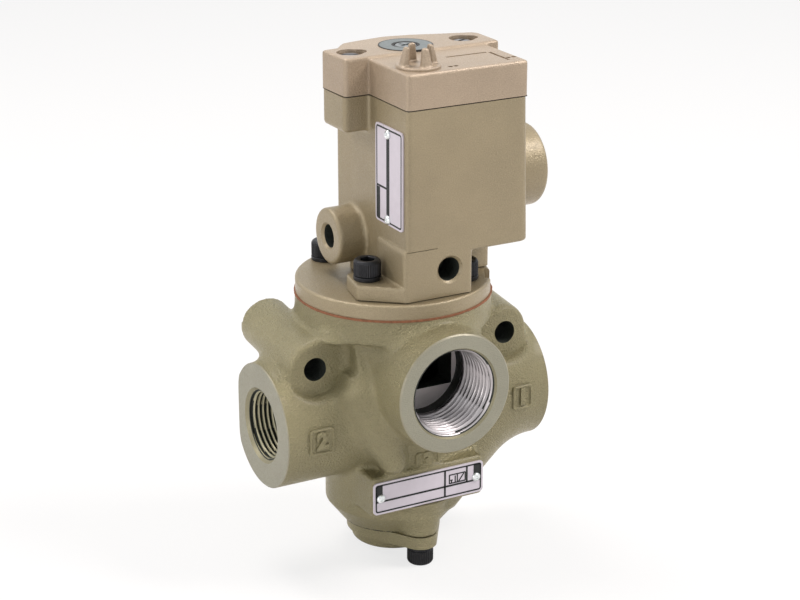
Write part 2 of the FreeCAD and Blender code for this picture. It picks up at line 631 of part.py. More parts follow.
def make_fasteners():
    cap_screws, cap_washers = [], []
    for y in ("-ear_place", "ear_place"):
        cap_screws.append(socket_screw("0", y, "cap_foot", "cap_thickness + grip - grip_spare", "-Z"))
        cap_washers.append(washer("0", y, "cap_foot", "-Z"))
    keep(group(*cap_screws), "bottom_cap_screws")
    keep(group(*cap_washers), "bottom_cap_washers")
    screws, washers = [], []
    for x, y, seat in COVER_SCREWS:
        screws.append(socket_screw(x, y, seat, seat + " - shank_foot - grip_spare"))
        washers.append(washer(x, y, seat))
    keep(group(*screws), "cover_screws")
    keep(group(*washers), "cover_washers")


def screw_hole(x, y):
    return ("circle", x, y, "screw_radius + screw_clearance")


def screw_holes():
    return [screw_hole(x, y) for x, y, seat in COVER_SCREWS]


def make_cover():
    """The gasket and the turned cover disc, with a small locating tab on the body gasket's edge."""
    gasket = new_body("gasket_blank")
    pad(gasket, "XY", [("circle", "0", "0", "neck_radius + gasket_proud"),
                       ("circle", "0", "0", "piston_bore_radius")], "gasket_thickness", "body_top")
    pocket(gasket, "XY", screw_holes(), "gasket_thickness", "gasket_top")
    keep(carve(gasket, make_tab("tab_gap", "body_top - 1", "disc_top + 1")), "body_gasket")

    disc = new_body("disc_blank")
    pad(disc, "XY", [("circle", "0", "0", "disc_radius")], "disc_thickness", "gasket_top")
    blend(disc, "disc_edge", lambda e: level_at(e, value("disc_top")))
    pocket(disc, "XY", screw_holes() + [("circle", "axis_place", "axis_back", "air_way_radius")],
           "disc_thickness", "disc_top")
    keep(carve(disc, make_tab("tab_gap", "body_top - 1", "disc_top + 1")), "cover_disc")


def make_main_valve():
    """Piston, stem and two poppets that travel together down the stem axis."""
    piston = new_body("piston_blank")
    groove_low = "(piston_top - (piston_height + seal_height) / 2)"
    rim = "piston_bore_radius - piston_clearance"
    spin(piston, [[
        ("stem_radius + fit_gap", "piston_top - piston_height"), (rim, "piston_top - piston_height"),
        (rim, groove_low), ("piston_bore_radius - seal_depth", groove_low),
        ("piston_bore_radius - seal_depth", groove_low + " + seal_height"),
        (rim, groove_low + " + seal_height"), (rim, "piston_top"),
        ("nut_recess_radius", "piston_top"), ("nut_recess_radius", "piston_top - nut_height"),
        ("stem_radius + fit_gap", "piston_top - nut_height"),
    ]])
    keep(piston, "piston")
    keep(tube("piston_bore_radius - seal_clearance", "piston_bore_radius - seal_depth + fit_gap",
              "seal_height - 2 * fit_gap", z=groove_low + " + fit_gap"), "piston_seal")
    keep(carve(hexagon("nut_radius", "nut_height", z="piston_top - nut_height"),
               rod("stem_radius + fit_gap", "nut_height", z="piston_top - nut_height")), "stem_nut")

    keep(group(rod("stem_radius", "piston_top - stem_drop - poppet_low", z="poppet_low")), "valve_stem")
    top_low = "(exhaust_seat_level + stroke + stroke_spare)"
    keep(carve(join(rod("poppet_radius", "poppet_height", z=top_low + " + poppet_seal_height"),
                    taper("poppet_radius * 0.8", "stem_radius * 1.6", "poppet_height * 0.5",
                          z=top_low + " + poppet_seal_height + poppet_height")),
               rod("stem_radius + fit_gap", "poppet_height * 2", z=top_low)), "exhaust_poppet")
    keep(tube("poppet_radius - poppet_seal_inset", "stem_radius + fit_gap", "poppet_seal_height",
              z=top_low), "exhaust_poppet_seal")
    keep(carve(join(rod("poppet_radius", "poppet_height", z="poppet_low"),
                    rod("guide_radius", "guide_height", z="poppet_low", turn="-Z")),
               rod("stem_radius + fit_gap", "poppet_height", z="poppet_low")), "inlet_poppet")
    keep(tube("poppet_radius - poppet_seal_inset", "stem_radius + fit_gap", "poppet_seal_height",
              z="inlet_seat_level - poppet_seal_height"), "inlet_poppet_seal")

    bush = new_body("bush_blank")
    spin(bush, [[
        ("stem_radius + stem_clearance", "partition_foot - bush_flange_height"),
        ("bush_flange_radius", "partition_foot - bush_flange_height"),
        ("bush_flange_radius", "partition_foot"), ("bush_radius - fit_gap", "partition_foot"),
        ("bush_radius - fit_gap", "bore_floor"), ("stem_radius + stem_clearance", "bore_floor"),
    ]])
    keep(bush, "stem_bush")
    keep(coil_spring("return_wire", "return_coil_radius", "return_turns",
                     "-foot_end + cap_plug_length", "poppet_low"), "return_spring")


def housing_plan(inset):
    """The plan outline of the coil housing, moved inwards by the inset."""
    return [
        ("box_left + %s" % inset, "box_front + %s" % inset),
        ("box_right - %s" % inset, "box_front + %s" % inset),
        ("box_right - %s" % inset, "box_side_back - %s" % inset, "back_curve"),
        ("box_left + back_corner_width + %s * 0.5" % inset, "box_back - back_corner_drop - %s" % inset),
        ("box_left + %s" % inset, "box_corner_back - %s * 0.5" % inset),
    ]


def make_pilot_housing():
    """The die-cast coil housing: upper box over a stepped foot, with bosses, hub and lugs."""
    body = new_body("housing_blank")
    pad(body, "XY", [housing_plan("0")], "box_top - box_floor", "box_floor")
    blend(body, "box_edge", upright)
    pad(body, "XY", [[
        ("box_left - block_proud", "box_front"), ("block_right", "box_front"),
        ("block_right", "rear_front"), ("rear_right", "rear_front"), ("rear_right", "rear_back"),
        ("box_left + rear_corner", "rear_back"), ("box_left", "rear_back - rear_corner"),
        ("box_left", "rear_front"),
        ("box_left - block_proud", "rear_front"),
    ]], "block_top - pilot_foot", "pilot_foot")
    corner = (value("box_left - block_proud"), value("box_front"))
    blend(body, "box_edge * 1.6", lambda e: upright(e) and at_spot(e, *corner))
    pad(body, "XY", [[
        ("box_left", "box_front"), ("foot_lug_left", "box_front + foot_lug_front"),
        ("foot_lug_left + foot_lug_slant", "box_front + foot_lug_back"), ("box_left", "box_front + foot_lug_root"),
    ]], "foot_lug_height", "pilot_foot")
    for x in ("foot_lug_left", "foot_lug_left + foot_lug_slant"):
        blend(body, "box_edge", lambda e: upright(e) and near(e.BoundBox.Center.x, value(x)))
    # lid screw lugs, one on each side under the lid
    lugs = [("left_lug_end", "box_left + box_wall", "left_lug_front", "left_lug_back"),
            ("right_lug_end", "box_right - box_wall", "right_lug_front", "right_lug_back")]
    for end, root, low_y, high_y in lugs:
        pad(body, "XY", [[(end, low_y), (root, low_y), (root, high_y), (end, high_y)]],
            "lid_lug_drop", "box_top - lid_lug_drop")
        blend(body, "box_edge", lambda e: upright(e) and near(e.BoundBox.Center.x, value(end)))
    # pilot port boss on the left and conduit hub on the right
    pad(body, "YZ", [("circle", "side_boss_place", "side_boss_level", "side_boss_radius")],
        "box_left - side_boss_end + box_wall", "side_boss_end")
    blend(body, "box_edge * 0.6", lambda e: e.Closed and near(e.BoundBox.XMax, value("side_boss_end"))
          and near(e.BoundBox.XMin, value("side_boss_end")))
    pad(body, "YZ", [("circle", "hub_place", "hub_level", "hub_radius")],
        "hub_end - box_right + box_wall", "box_right - box_wall")
    blend(body, "box_edge", lambda e: e.Closed and near(e.BoundBox.XMin, value("hub_end"))
          and near(e.BoundBox.XMax, value("hub_end")))
    # hollow for the coil, then the bores
    pocket(body, "XY", [housing_plan("box_wall")], "box_top - cavity_floor", "box_top")
    pad(body, "XY", [("circle", "right_screw", "right_screw_back", "counterbore_radius")],
        "lid_lug_drop", "box_top - lid_lug_drop")
    pocket(body, "YZ", [("circle", "hub_place", "hub_level", "hub_bore_radius")], "hub_bore_depth", "hub_end")
    pocket(body, "YZ", [("circle", "hub_place", "hub_level", "hub_way_radius")],
           "hub_end - box_right + box_wall + 1", "hub_end")
    pocket(body, "YZ", [("circle", "side_boss_place", "side_boss_level", "pilot_hole_radius")],
           "pilot_hole_depth", "side_boss_end", reverse=True)
    pocket(body, "XZ", [("circle", "front_hole_place", "front_hole_level", "pilot_hole_radius")],
           "pilot_hole_depth", "-box_front")
    pocket(body, "XZ", [("circle", "front_hole_place", "front_hole_level", "air_way_radius")],
           "axis_back - box_front", "-box_front")
    pocket(body, "YZ", [("circle", "side_boss_place", "side_boss_level", "air_way_radius")],
           "axis_place - side_boss_end", "side_boss_end", reverse=True)
    pocket(body, "XY", [("circle", "axis_place", "axis_back", "nozzle_radius")], "seat_height", "cavity_floor")
    pocket(body, "XY", [("circle", "axis_place", "axis_back", "air_way_radius")],
           "cavity_floor - pilot_foot", "cavity_floor")
    pocket(body, "XY", [("circle", "left_screw", "left_screw_back", "lid_screw_radius"),
                        ("circle", "right_screw", "right_screw_back", "lid_screw_radius")],
           "lid_screw_hole", "box_top")
    pocket(body, "XY", [screw_hole(*COVER_SCREWS[0][:2])],
           "foot_lug_height", "lug_top")
    pocket(body, "YZ", [("circle", "label_rivet_place", z, "rivet_shank + fit_gap")
                        for z in ("label_rivet_low", "label_rivet_high")],
           "rivet_grip", "box_left", reverse=True)
    # countersunk mouths of the two pilot ports
    for side, size in (("XMin", "side_boss_end"), ("YMin", "box_front")):
        blend(body, "pilot_mouth_radius - pilot_hole_radius", lambda e: e.Closed
              and near(getattr(e.BoundBox, side), value(size))
              and near(e.BoundBox.ZLength, 2 * value("pilot_hole_radius"), 0.05), "Chamfer")
    keep(body, "pilot_housing")

    gasket = new_body("pilot_gasket_blank")
    pad(gasket, "XY", [[
        ("box_left + gasket_inset", "box_front + gasket_inset"),
        ("block_right - gasket_inset", "box_front + gasket_inset"),
        ("block_right - gasket_inset", "rear_front + gasket_inset"),
        ("rear_right - gasket_inset", "rear_front + gasket_inset"),
        ("rear_right - gasket_inset", "rear_back - gasket_inset"),
        ("box_left + rear_corner", "rear_back - gasket_inset"),
        ("box_left + gasket_inset", "rear_back - rear_corner - gasket_inset"),
        ("box_left + gasket_inset", "box_front + foot_lug_root - gasket_inset"),
        ("foot_lug_left + foot_lug_slant + gasket_inset", "box_front + foot_lug_back - gasket_inset"),
        ("foot_lug_left + gasket_inset", "box_front + foot_lug_front + gasket_inset / 2"),
    ]], "pilot_gasket_thickness", "disc_top")
    pocket(gasket, "XY", [screw_hole(*COVER_SCREWS[0][:2]),
                          ("circle", "axis_place", "axis_back", "air_way_radius")],
           "pilot_gasket_thickness", "pilot_foot")
    keep(gasket, "pilot_gasket")


def lid_plan(inset):
    """The lid's plan outline with its two screw lugs, moved inwards by the inset."""
    return [
        ("box_left + %s" % inset, "box_front + %s" % inset),
        ("box_right - %s" % inset, "box_front + %s" % inset),
        ("box_right - %s" % inset, "right_lug_front + %s" % inset),
        ("right_lug_end - %s" % inset, "right_lug_front + %s" % inset),
        ("right_lug_end - %s" % inset, "right_lug_back - %s" % inset, "lid_side_curve"),
        ("axis_place", "box_back + lid_back_bulge - %s" % inset, "lid_back_curve"),
        ("left_lug_end + %s" % inset, "left_lug_back - %s" % inset),
        ("left_lug_end + %s" % inset, "left_lug_front + %s" % inset),
        ("box_left + %s" % inset, "left_lug_front + %s" % inset),
    ]


def make_lid():
    """The lid, with a raised back half, a crown of four tapered fingers and two sunk screws."""
    gasket = new_body("lid_gasket_blank")
    pad(gasket, "XY", [lid_plan("gasket_inset"), housing_plan("box_wall - 0.5")],
        "lid_gasket_thickness", "box_top")
    pocket(gasket, "XY", [("circle", "left_screw", "left_screw_back", "lid_screw_radius"),
                          ("circle", "right_screw", "right_screw_back", "lid_screw_radius")],
           "lid_gasket_thickness", "lid_foot")
    keep(gasket, "lid_gasket")

    lid = new_body("lid_blank")
    pad(lid, "XY", [[
        ("right_lug_end", "right_lug_front"), ("right_lug_end", "right_lug_back", "lid_side_curve"),
        ("axis_place", "box_back + lid_back_bulge", "lid_back_curve"),
        ("left_lug_end", "left_lug_back"), ("left_lug_end", "left_lug_front"),
    ]], "lid_high - lid_foot", "lid_foot")
    blend(lid, "lid_edge", upright)
    blend(lid, "lid_rim", lambda e: level_at(e, value("lid_high")))
    pad(lid, "XY", [[
        ("box_left", "box_front"), ("box_right", "box_front"), ("box_right", "0"), ("box_left", "0"),
    ]], "lid_top - lid_foot", "lid_foot")
    blend(lid, "lid_edge", lambda e: upright(e) and near(e.BoundBox.YMin, value("box_front")))
    step = value("left_lug_front - lid_edge")
    blend(lid, "lid_rim", lambda e: level_at(e, value("lid_top")) and e.BoundBox.Center.y < step)
    # fine groove round the front right corner, and two pairs of dimples
    right, back = "groove_right - groove_width", "groove_back - groove_width"
    pocket(lid, "XY", [[
        ("groove_left", "groove_back"), ("groove_left", back), (right, back), (right, "groove_front"),
        ("groove_right", "groove_front"), ("groove_right", "groove_back"),
    ]], "groove_depth", "lid_top")
    pocket(lid, "XY", [("circle", x + sign + "dimple_half_gap", y, "dimple_radius")
                       for x, y in (("dimple_left", "dimple_left_back"), ("dimple_right", "dimple_right_back"))
                       for sign in (" - ", " + ")], "groove_depth", "lid_top")
    # crown: a round base with four fingers that lean inwards
    middle = ("crown_place", "crown_back")
    base = lid.newObject("PartDesign::Pad", "crown_base")
    base.Profile = sketch_on(lid, "XY", [("circle", "0", "0", "crown_base_radius")], "lid_top", middle)
    bind(base, {"Length": "crown_base_height"})
    doc.recompute()
    finger = lid.newObject("PartDesign::AdditiveLoft", "finger")
    sections = []
    root_level = "lid_top + crown_base_height"
    for width, reach, level in (("finger_root_width", "finger_root", root_level),
                                ("finger_tip_width", "finger_tip", root_level + " + finger_height")):
        sections.append(sketch_on(lid, "XY", [[
            ("-%s / 2" % width, "-" + reach), (width + " / 2", "-" + reach),
            (width + " / 2", "finger_depth - " + reach), ("-%s / 2" % width, "finger_depth - " + reach),
        ]], level, middle))
    finger.Profile = sections[0]
    finger.Sections = sections[1:]
    doc.recompute()
    crown = lid.newObject("PartDesign::PolarPattern", "crown")
    crown.Originals = [finger]
    crown.Axis = (base.Profile[0], ["N_Axis"])
    crown.Angle = 360
    crown.Occurrences = 4
    lid.Tip = crown
    doc.recompute()
    # sunk screws with a relief beside each, and the override's round seat
    for x, y in (("left_screw", "left_screw_back"), ("right_screw", "right_screw_back")):
        pocket(lid, "XY", [("circle", x, y, "counterbore_radius")], "counterbore_depth", "lid_high")
        pocket(lid, "XY", [("circle", x + " + relief_shift", y, "relief_radius")], "relief_depth", "lid_high")
        pocket(lid, "XY", [("circle", x, y, "lid_screw_radius + lid_screw_clearance")],
               "lid_high - lid_foot", "lid_high")
    pocket(lid, "XY", [("circle", "axis_place", "axis_back", "bezel_radius + fit_gap")],
           "bezel_depth", "lid_high")
    pocket(lid, "XY", [("circle", "axis_place", "axis_back", "button_flange_radius + flange_clearance")],
           "lid_high - lid_foot", "lid_high")
    keep(lid, "pilot_lid")
    make_lid_screws()


def make_lid_screws():
    """Two slotted screws, sunk in the lid's lugs."""
    screws = []
    seat = "lid_high - counterbore_depth"
    for x, y in (("left_screw", "left_screw_back"), ("right_screw", "right_screw_back")):
        head = rod("lid_screw_head_radius", "lid_screw_head_height", x, y, seat)
        shank = rod("lid_screw_radius - fit_gap", "lid_high - counterbore_depth - box_top + lid_screw_grip",
                    x, y, seat, "-Z")
        slot = block(x + " - lid_screw_head_radius", y + " - slot_width / 2",
                     seat + " + lid_screw_head_height - slot_depth",
                     "2 * lid_screw_head_radius", "slot_width", "slot_depth")
        screws.append(carve(join(head, shank), slot))
    keep(group(*screws), "lid_screws")


def on_axis(maker, *sizes, z="0", turn="Z"):
    """A rod, tube, taper or hexagon on the coil's axis."""
    return maker(*sizes, "axis_place", "axis_back", z, turn)


def make_override():
    """Bezel, button and spring of the manual override, on the coil's axis."""
    ring_low = "lid_high + bezel_proud - ring_height"
    keep(carve(on_axis(rod, "bezel_radius", "bezel_depth + bezel_proud", z="bezel_low"),
               on_axis(rod, "button_bore_radius", "bezel_depth + bezel_proud", z="bezel_low"),
               on_axis(rod, "ring_radius", "ring_height", z=ring_low)), "override_bezel")
    keep(on_axis(tube, "ring_radius - fit_gap", "button_bore_radius + fit_gap", "ring_height - ring_drop",
                 z=ring_low), "override_seal")
    pin_low = "armature_top + override_gap"
    keep(join(on_axis(rod, "button_radius", "button_height", z="button_low"),
              on_axis(rod, "button_flange_radius", "button_flange_height", z="button_low"),
              on_axis(rod, "pin_radius", "button_low - armature_top - override_gap", z=pin_low)),
         "override_button")
    keep(coil_spring("override_wire", "override_coil_radius", "override_turns", "tube_top", "button_low",
                     "axis_place", "axis_back"), "override_spring")


def make_coil():
    """Coil, yoke, core tube, fixed core, armature with its pin and spring, and the pilot nozzle."""
    bore = "(tube_radius - tube_wall)"
    keep(on_axis(tube, "coil_radius", "tube_radius + coil_clearance", "coil_height", z="coil_base"), "coil")
    yoke_half = "(coil_radius + yoke_gap + yoke_thickness)"
    box = block("axis_place - %s" % yoke_half, "axis_back - yoke_half_width", "coil_base - yoke_thickness",
                "2 * " + yoke_half, "2 * yoke_half_width", "coil_height + 2 * yoke_thickness")
    space = block("axis_place - coil_radius - yoke_gap", "axis_back - yoke_half_width - 1", "coil_base",
                  "2 * (coil_radius + yoke_gap)", "2 * yoke_half_width + 2", "coil_height")
    keep(carve(box, space, on_axis(rod, "tube_radius + coil_clearance", "coil_height + 2 * yoke_thickness",
                                   z="coil_base - yoke_thickness")), "coil_yoke")
    keep(carve(join(on_axis(rod, "tube_radius", "tube_top - cavity_floor", z="cavity_floor"),
                    on_axis(rod, "tube_flange_radius", "tube_flange_height", z="cavity_floor")),
               on_axis(rod, bore, "tube_top - tube_roof - cavity_floor", z="cavity_floor"),
               on_axis(rod, "pin_radius + pin_clearance", "tube_roof", z="tube_top - tube_roof")), "core_tube")
    keep(on_axis(tube, bore + " - fit_gap", "core_way_radius", "core_top - cavity_floor", z="cavity_floor"),
         "fixed_core")
    keep(carve(on_axis(rod, bore + " - armature_clearance", "armature_height", z="armature_low"),
               on_axis(rod, "armature_coil_radius + armature_wire + recess_clearance", "armature_recess",
                       z="armature_low")), "armature")
    keep(group(on_axis(rod, "push_radius", "armature_low + armature_recess - cavity_floor - push_lift",
                       z="cavity_floor + push_lift")), "push_pin")
    keep(coil_spring("armature_wire", "armature_coil_radius", "armature_turns", "core_top",
                     "armature_low + armature_recess", "axis_place", "axis_back"), "armature_spring")
    keep(on_axis(tube, "nozzle_radius - fit_gap", "nozzle_way_radius", "seat_height",
                 z="cavity_floor - seat_height"), "pilot_seat")


def make_terminal_block():
    """A small block for the coil leads, on the floor of the housing beside the conduit hub."""
    left = "(box_right - box_wall - terminal_length - terminal_gap)"
    front = "(box_front + box_wall + terminal_gap)"
    body = block(left, front, "cavity_floor", "terminal_length", "terminal_width", "terminal_height")
    ways = []
    for place_in_row in ("0.25", "0.75"):
        y = "%s + terminal_width * %s" % (front, place_in_row)
        ways.append(rod("terminal_way_radius", "terminal_length", left, y,
                        "cavity_floor + terminal_height * 0.4", "X"))
        ways.append(rod("terminal_way_radius", "terminal_height", left + " + terminal_length / 2", y,
                        "cavity_floor + terminal_height", "-Z"))
    keep(carve(body, *ways), "terminal_block")


def rivet(x, y, z, turn):
    """A small headed rivet whose head stands off the face and whose shank goes the other way."""
    back = {"-Y": "Y", "-X": "X"}[turn]
    return join(taper("rivet_radius", "rivet_radius * 0.6", "rivet_height", x, y, z, turn),
                rod("rivet_shank", "rivet_grip", x, y, z, back))


def make_plates():
    """The two thin plates with their rivets. Both plates are plain."""
    name = new_body("nameplate_blank")
    pad(name, "XZ", [[
        ("-plate_width / 2", "plate_level - plate_height / 2"),
        ("plate_width / 2", "plate_level - plate_height / 2"),
        ("plate_width / 2", "plate_level + plate_height / 2"),
        ("-plate_width / 2", "plate_level + plate_height / 2"),
    ]], "plate_thickness", "plate_pad_front")
    blend(name, "plate_corner", lambda e: near(e.BoundBox.XLength, 0) and near(e.BoundBox.ZLength, 0))
    holes = [("circle", side + "(name_rivet_place)", "plate_level", "rivet_shank + fit_gap")
             for side in ("-", "")]
    pocket(name, "XZ", holes, "plate_thickness", "plate_pad_front + plate_thickness")
    keep(name, "nameplate")
    keep(group(*[rivet(side + "(name_rivet_place)", "-plate_pad_front - plate_thickness", "plate_level", "-Y")
                 for side in ("-", "")]), "nameplate_rivets")

    label = new_body("label_blank")
    pad(label, "YZ", [[
        ("label_front", "label_low"), ("label_back", "label_low"),
        ("label_back", "label_high"), ("label_front", "label_high"),
    ]], "label_thickness", "box_left - label_thickness")
    blend(label, "plate_corner", lambda e: near(e.BoundBox.YLength, 0) and near(e.BoundBox.ZLength, 0))
    holes = [("circle", "label_rivet_place", z, "rivet_shank + fit_gap")
             for z in ("label_rivet_low", "label_rivet_high")]
    pocket(label, "YZ", holes, "label_thickness", "box_left - label_thickness", reverse=True)
    keep(label, "coil_label")
    keep(group(*[rivet("box_left - label_thickness", "label_rivet_place", z, "-X")
                 for z in ("label_rivet_low", "label_rivet_high")]), "coil_label_rivets")


BUILDERS = [make_valve_body, make_bottom_cap, make_fasteners, make_cover, make_main_valve,
            make_pilot_housing, make_lid, make_override, make_coil, make_terminal_block, make_plates]
for build in BUILDERS:
    build()
doc.recompute()

for item in doc.Objects:
    if "Invalid" in item.State or "Error" in item.State:
        raise ValueError("%s (%s) did not build" % (item.Name, item.Label))
for item in sub_parts:
    if item.Shape.isNull() or not item.Shape.isValid() or not item.Shape.Solids:
        raise ValueError("%s has no sound shape" % item.Label)

os.makedirs("parts", exist_ok=True)
for item in sub_parts:
    item.Shape.exportStep("parts/%s.step" % item.Label)
print("%d sub-parts written" % len(sub_parts))
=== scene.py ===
import json
import math

import bmesh
import bpy
import numpy as np
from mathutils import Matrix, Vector


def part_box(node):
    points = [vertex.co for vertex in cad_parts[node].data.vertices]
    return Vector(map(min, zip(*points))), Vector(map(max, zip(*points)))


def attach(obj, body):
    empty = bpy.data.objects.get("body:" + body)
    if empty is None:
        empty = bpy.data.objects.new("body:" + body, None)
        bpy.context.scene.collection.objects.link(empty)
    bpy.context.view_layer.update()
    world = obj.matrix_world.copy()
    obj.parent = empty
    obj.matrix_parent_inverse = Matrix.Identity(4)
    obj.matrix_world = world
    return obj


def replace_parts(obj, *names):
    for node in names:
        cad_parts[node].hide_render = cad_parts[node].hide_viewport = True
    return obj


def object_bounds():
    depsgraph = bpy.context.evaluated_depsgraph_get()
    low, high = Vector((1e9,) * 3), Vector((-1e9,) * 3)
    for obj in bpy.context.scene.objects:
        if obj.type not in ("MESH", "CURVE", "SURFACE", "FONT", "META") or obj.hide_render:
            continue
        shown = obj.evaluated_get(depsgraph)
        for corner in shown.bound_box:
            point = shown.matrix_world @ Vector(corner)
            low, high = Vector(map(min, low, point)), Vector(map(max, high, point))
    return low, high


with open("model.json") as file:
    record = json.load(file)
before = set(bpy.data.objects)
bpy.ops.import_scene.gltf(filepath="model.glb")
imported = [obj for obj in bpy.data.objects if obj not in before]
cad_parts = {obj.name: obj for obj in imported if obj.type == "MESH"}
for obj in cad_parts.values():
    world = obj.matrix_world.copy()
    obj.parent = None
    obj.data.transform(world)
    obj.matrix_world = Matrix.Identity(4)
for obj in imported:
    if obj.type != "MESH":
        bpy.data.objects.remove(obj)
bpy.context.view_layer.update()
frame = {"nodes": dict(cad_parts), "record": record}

# Pieces are drawn in millimetres about the stem axis: X along the side ports, -Y out of the front
# port, Z up, with the side ports' axis at Z 0. The frame says where that point lies in the row.
MM = 0.001
UP, DOWN = (0, 0, 1), (0, 0, -1)
mounts = {mount["name"]: mount for mount in frame["record"]["mounts"]}
STEM = np.array([0.0, mounts["port_1"]["pos_m"][1], mounts["port_1"]["pos_m"][2]])


def drawn(point):
    """A point of the row, in metres, as drawn millimetres."""
    return (np.asarray(point, dtype=float) - STEM) / MM


def drawn_box(node):
    """The lowest and highest corner of a CAD node, in drawn millimetres."""
    low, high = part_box(node)
    return drawn(low), drawn(high)


body_low, body_high = drawn_box("valve_body")
front_mount = drawn(mounts["port_3"]["pos_m"])
lug_mount = mounts["panel_holes"]

PORT_REACH = body_high[0]
FRONT_REACH = -body_low[1]
FRONT_LEVEL = front_mount[2]
SIDE_THREAD = mounts["port_1"]["dims"]["r_mm"]
FRONT_THREAD = mounts["port_3"]["dims"]["r_mm"]
FOOT = body_low[2]
BODY_TOP = drawn_box("body_gasket")[0][2]
DISC_TOP = drawn_box("cover_disc")[1][2]
LUG_PLACE = lug_mount["dims"]["spacing_x_mm"] / 2
LUG_LEVEL = drawn(lug_mount["pos_m"])[2]
LUG_BACK = drawn(lug_mount["pos_m"])[1]
LUG_HOLE = lug_mount["dims"]["hole_r_mm"]

housing_low, housing_high = drawn_box("pilot_housing")
side_pilot = drawn(mounts["pilot_port_side"]["pos_m"])
front_pilot = drawn(mounts["pilot_port_front"]["pos_m"])
conduit = drawn(mounts["conduit_entry"]["pos_m"])
HOUSING_FOOT, BOX_TOP = housing_low[2], housing_high[2]
BOX_FOOT = BOX_TOP - 54.0
BOX_LEFT = drawn_box("coil_label")[1][0]
BOX_FRONT = housing_low[1]
BOX_RIGHT = 36.9
SIDE_MOUTH = -22.6
HUB_MOUTH = housing_high[0]
HUB_END = HUB_MOUTH + 0.9
PILOT_HOLE = mounts["pilot_port_side"]["dims"]["r_mm"]
CONDUIT_HOLE = mounts["conduit_entry"]["dims"]["r_mm"]
LID_FOOT = drawn_box("pilot_lid")[0][2]
LID_TOP, LID_HIGH = LID_FOOT + 12.6, LID_FOOT + 13.5
LID_RIGHT = BOX_RIGHT + 0.1
# Places in plan of the lid's screws, the manual override and the crown on the lid
LID_SCREWS = [(-14.5, 5.0), (32.0, 6.1)]
OVERRIDE = (8.5, 6.0)
CROWN = (-2.1, -22.7)

BOSS_RADIUS = 23.4
BOSS_BACK = 20.0
FRONT_BOSS = 22.35
FRONT_ROOT = 25.5
NECK_RADIUS = 36.5
NECK_FOOT = BODY_TOP - 9.0
TRUNK_RADIUS = 25.4
LUG_FRONT = -14.9
LUG_RISE = 4.4
PASSAGE = 11.0
SIDE_MOUTH_DEPTH, SIDE_THREAD_DEPTH = 1.2, 17.0
FRONT_MOUTH_DEPTH, FRONT_THREAD_DEPTH = 0.9, 22.0
CHAMFER = 0.35
EAR_PLACE = 21.5
# The raised marks beside the ports: centre along X and Z, reach to the front, width and height
MARKS = {"2": (-41.6, 0.0, BOSS_RADIUS + 0.7, 10.0, 10.0), "1": (42.8, 0.6, BOSS_RADIUS + 0.7, 8.6, 9.6),
         "3": (0.6, -15.8, 26.3, 10.2, 8.2)}
MARK_RELIEF = 0.35
# The floor of port 3, behind its mouth, and the lower edge of the window in it
FLOOR_DEPTH = 26.6
LEDGE = 11.2
PIPE_PITCH, FRONT_PITCH = 1.814, 2.309


# Materials

def new_material(name):
    made = bpy.data.materials.new(name)
    made.use_nodes = True
    return made, made.node_tree.nodes, made.node_tree.links


def texture(nodes, links, kind, scale, **settings):
    """A texture node in the piece's own metres."""
    place = nodes.get("Place") or nodes.new("ShaderNodeTexCoord")
    place.name = "Place"
    made = nodes.new(kind)
    made.inputs["Scale"].default_value = scale
    for name, number in settings.items():
        made.inputs[name.replace("_", " ").title()].default_value = number
    links.new(place.outputs["Object"], made.inputs["Vector"])
    return made


def ramp(nodes, links, source, stops):
    """A colour ramp fed by a value, with (place, colour) stops."""
    made = nodes.new("ShaderNodeValToRGB")
    links.new(source, made.inputs["Fac"])
    while len(made.color_ramp.elements) < len(stops):
        made.color_ramp.elements.new(0.5)
    for element, (where, colour) in zip(made.color_ramp.elements, stops):
        element.position = where
        element.color = tuple(colour) + (1.0,)
    return made


def banded(finish, centre, bands):
    """Colour a finish in rings about a vertical axis: pairs of the radius it reaches to and its colour."""
    nodes, links = finish.node_tree.nodes, finish.node_tree.links
    source = nodes["Place"].outputs["Object"]
    middle = (*(np.array(centre) * MM + STEM[:2]), 0.0)
    for operation, value in (("SUBTRACT", middle), ("MULTIPLY", (100.0, 100.0, 0.0)), ("LENGTH", None)):
        made = nodes.new("ShaderNodeVectorMath")
        made.operation = operation
        if value:
            made.inputs[1].default_value = value
        links.new(source, made.inputs[0])
        source = made.outputs["Value" if operation == "LENGTH" else "Vector"]
    starts = [0.0] + [radius / 10 for radius, colour in bands[:-1]]
    rings = ramp(nodes, links, source, [(start, band[1]) for start, band in zip(starts, bands)])
    rings.color_ramp.interpolation = "CONSTANT"
    links.new(rings.outputs["Color"], nodes["Principled BSDF"].inputs["Base Color"])


def grey(level):
    return (level, level, level)


def shade(colour, factor):
    return tuple(min(1.0, channel * factor) for channel in colour)


def bump(nodes, links, height, strength, distance, base=None):
    made = nodes.new("ShaderNodeBump")
    made.inputs["Strength"].default_value = strength
    made.inputs["Distance"].default_value = distance * MM
    links.new(height, made.inputs["Height"])
    if base is not None:
        links.new(base.outputs["Normal"], made.inputs["Normal"])
    return made


def vary(nodes, links, source, target, low, high, places=(0.3, 0.7)):
    """Drive a socket by a texture's value, between two colours or two plain levels."""
    colours = [grey(value) if np.isscalar(value) else value for value in (low, high)]
    links.new(ramp(nodes, links, source, list(zip(places, colours))).outputs["Color"], target)


def cutter_lines(nodes, links, source, kind, axis, pitch, distortion, detail):
    """Fine lines that follow one another along an axis, or ring it."""
    made = nodes.new("ShaderNodeTexWave")
    made.wave_type = kind
    made.bands_direction = made.rings_direction = axis
    made.inputs["Scale"].default_value = 1.0 / (pitch * MM * 3.14)
    made.inputs["Distortion"].default_value = distortion
    made.inputs["Detail"].default_value = detail
    links.new(source, made.inputs["Vector"])
    return made.outputs["Fac"]


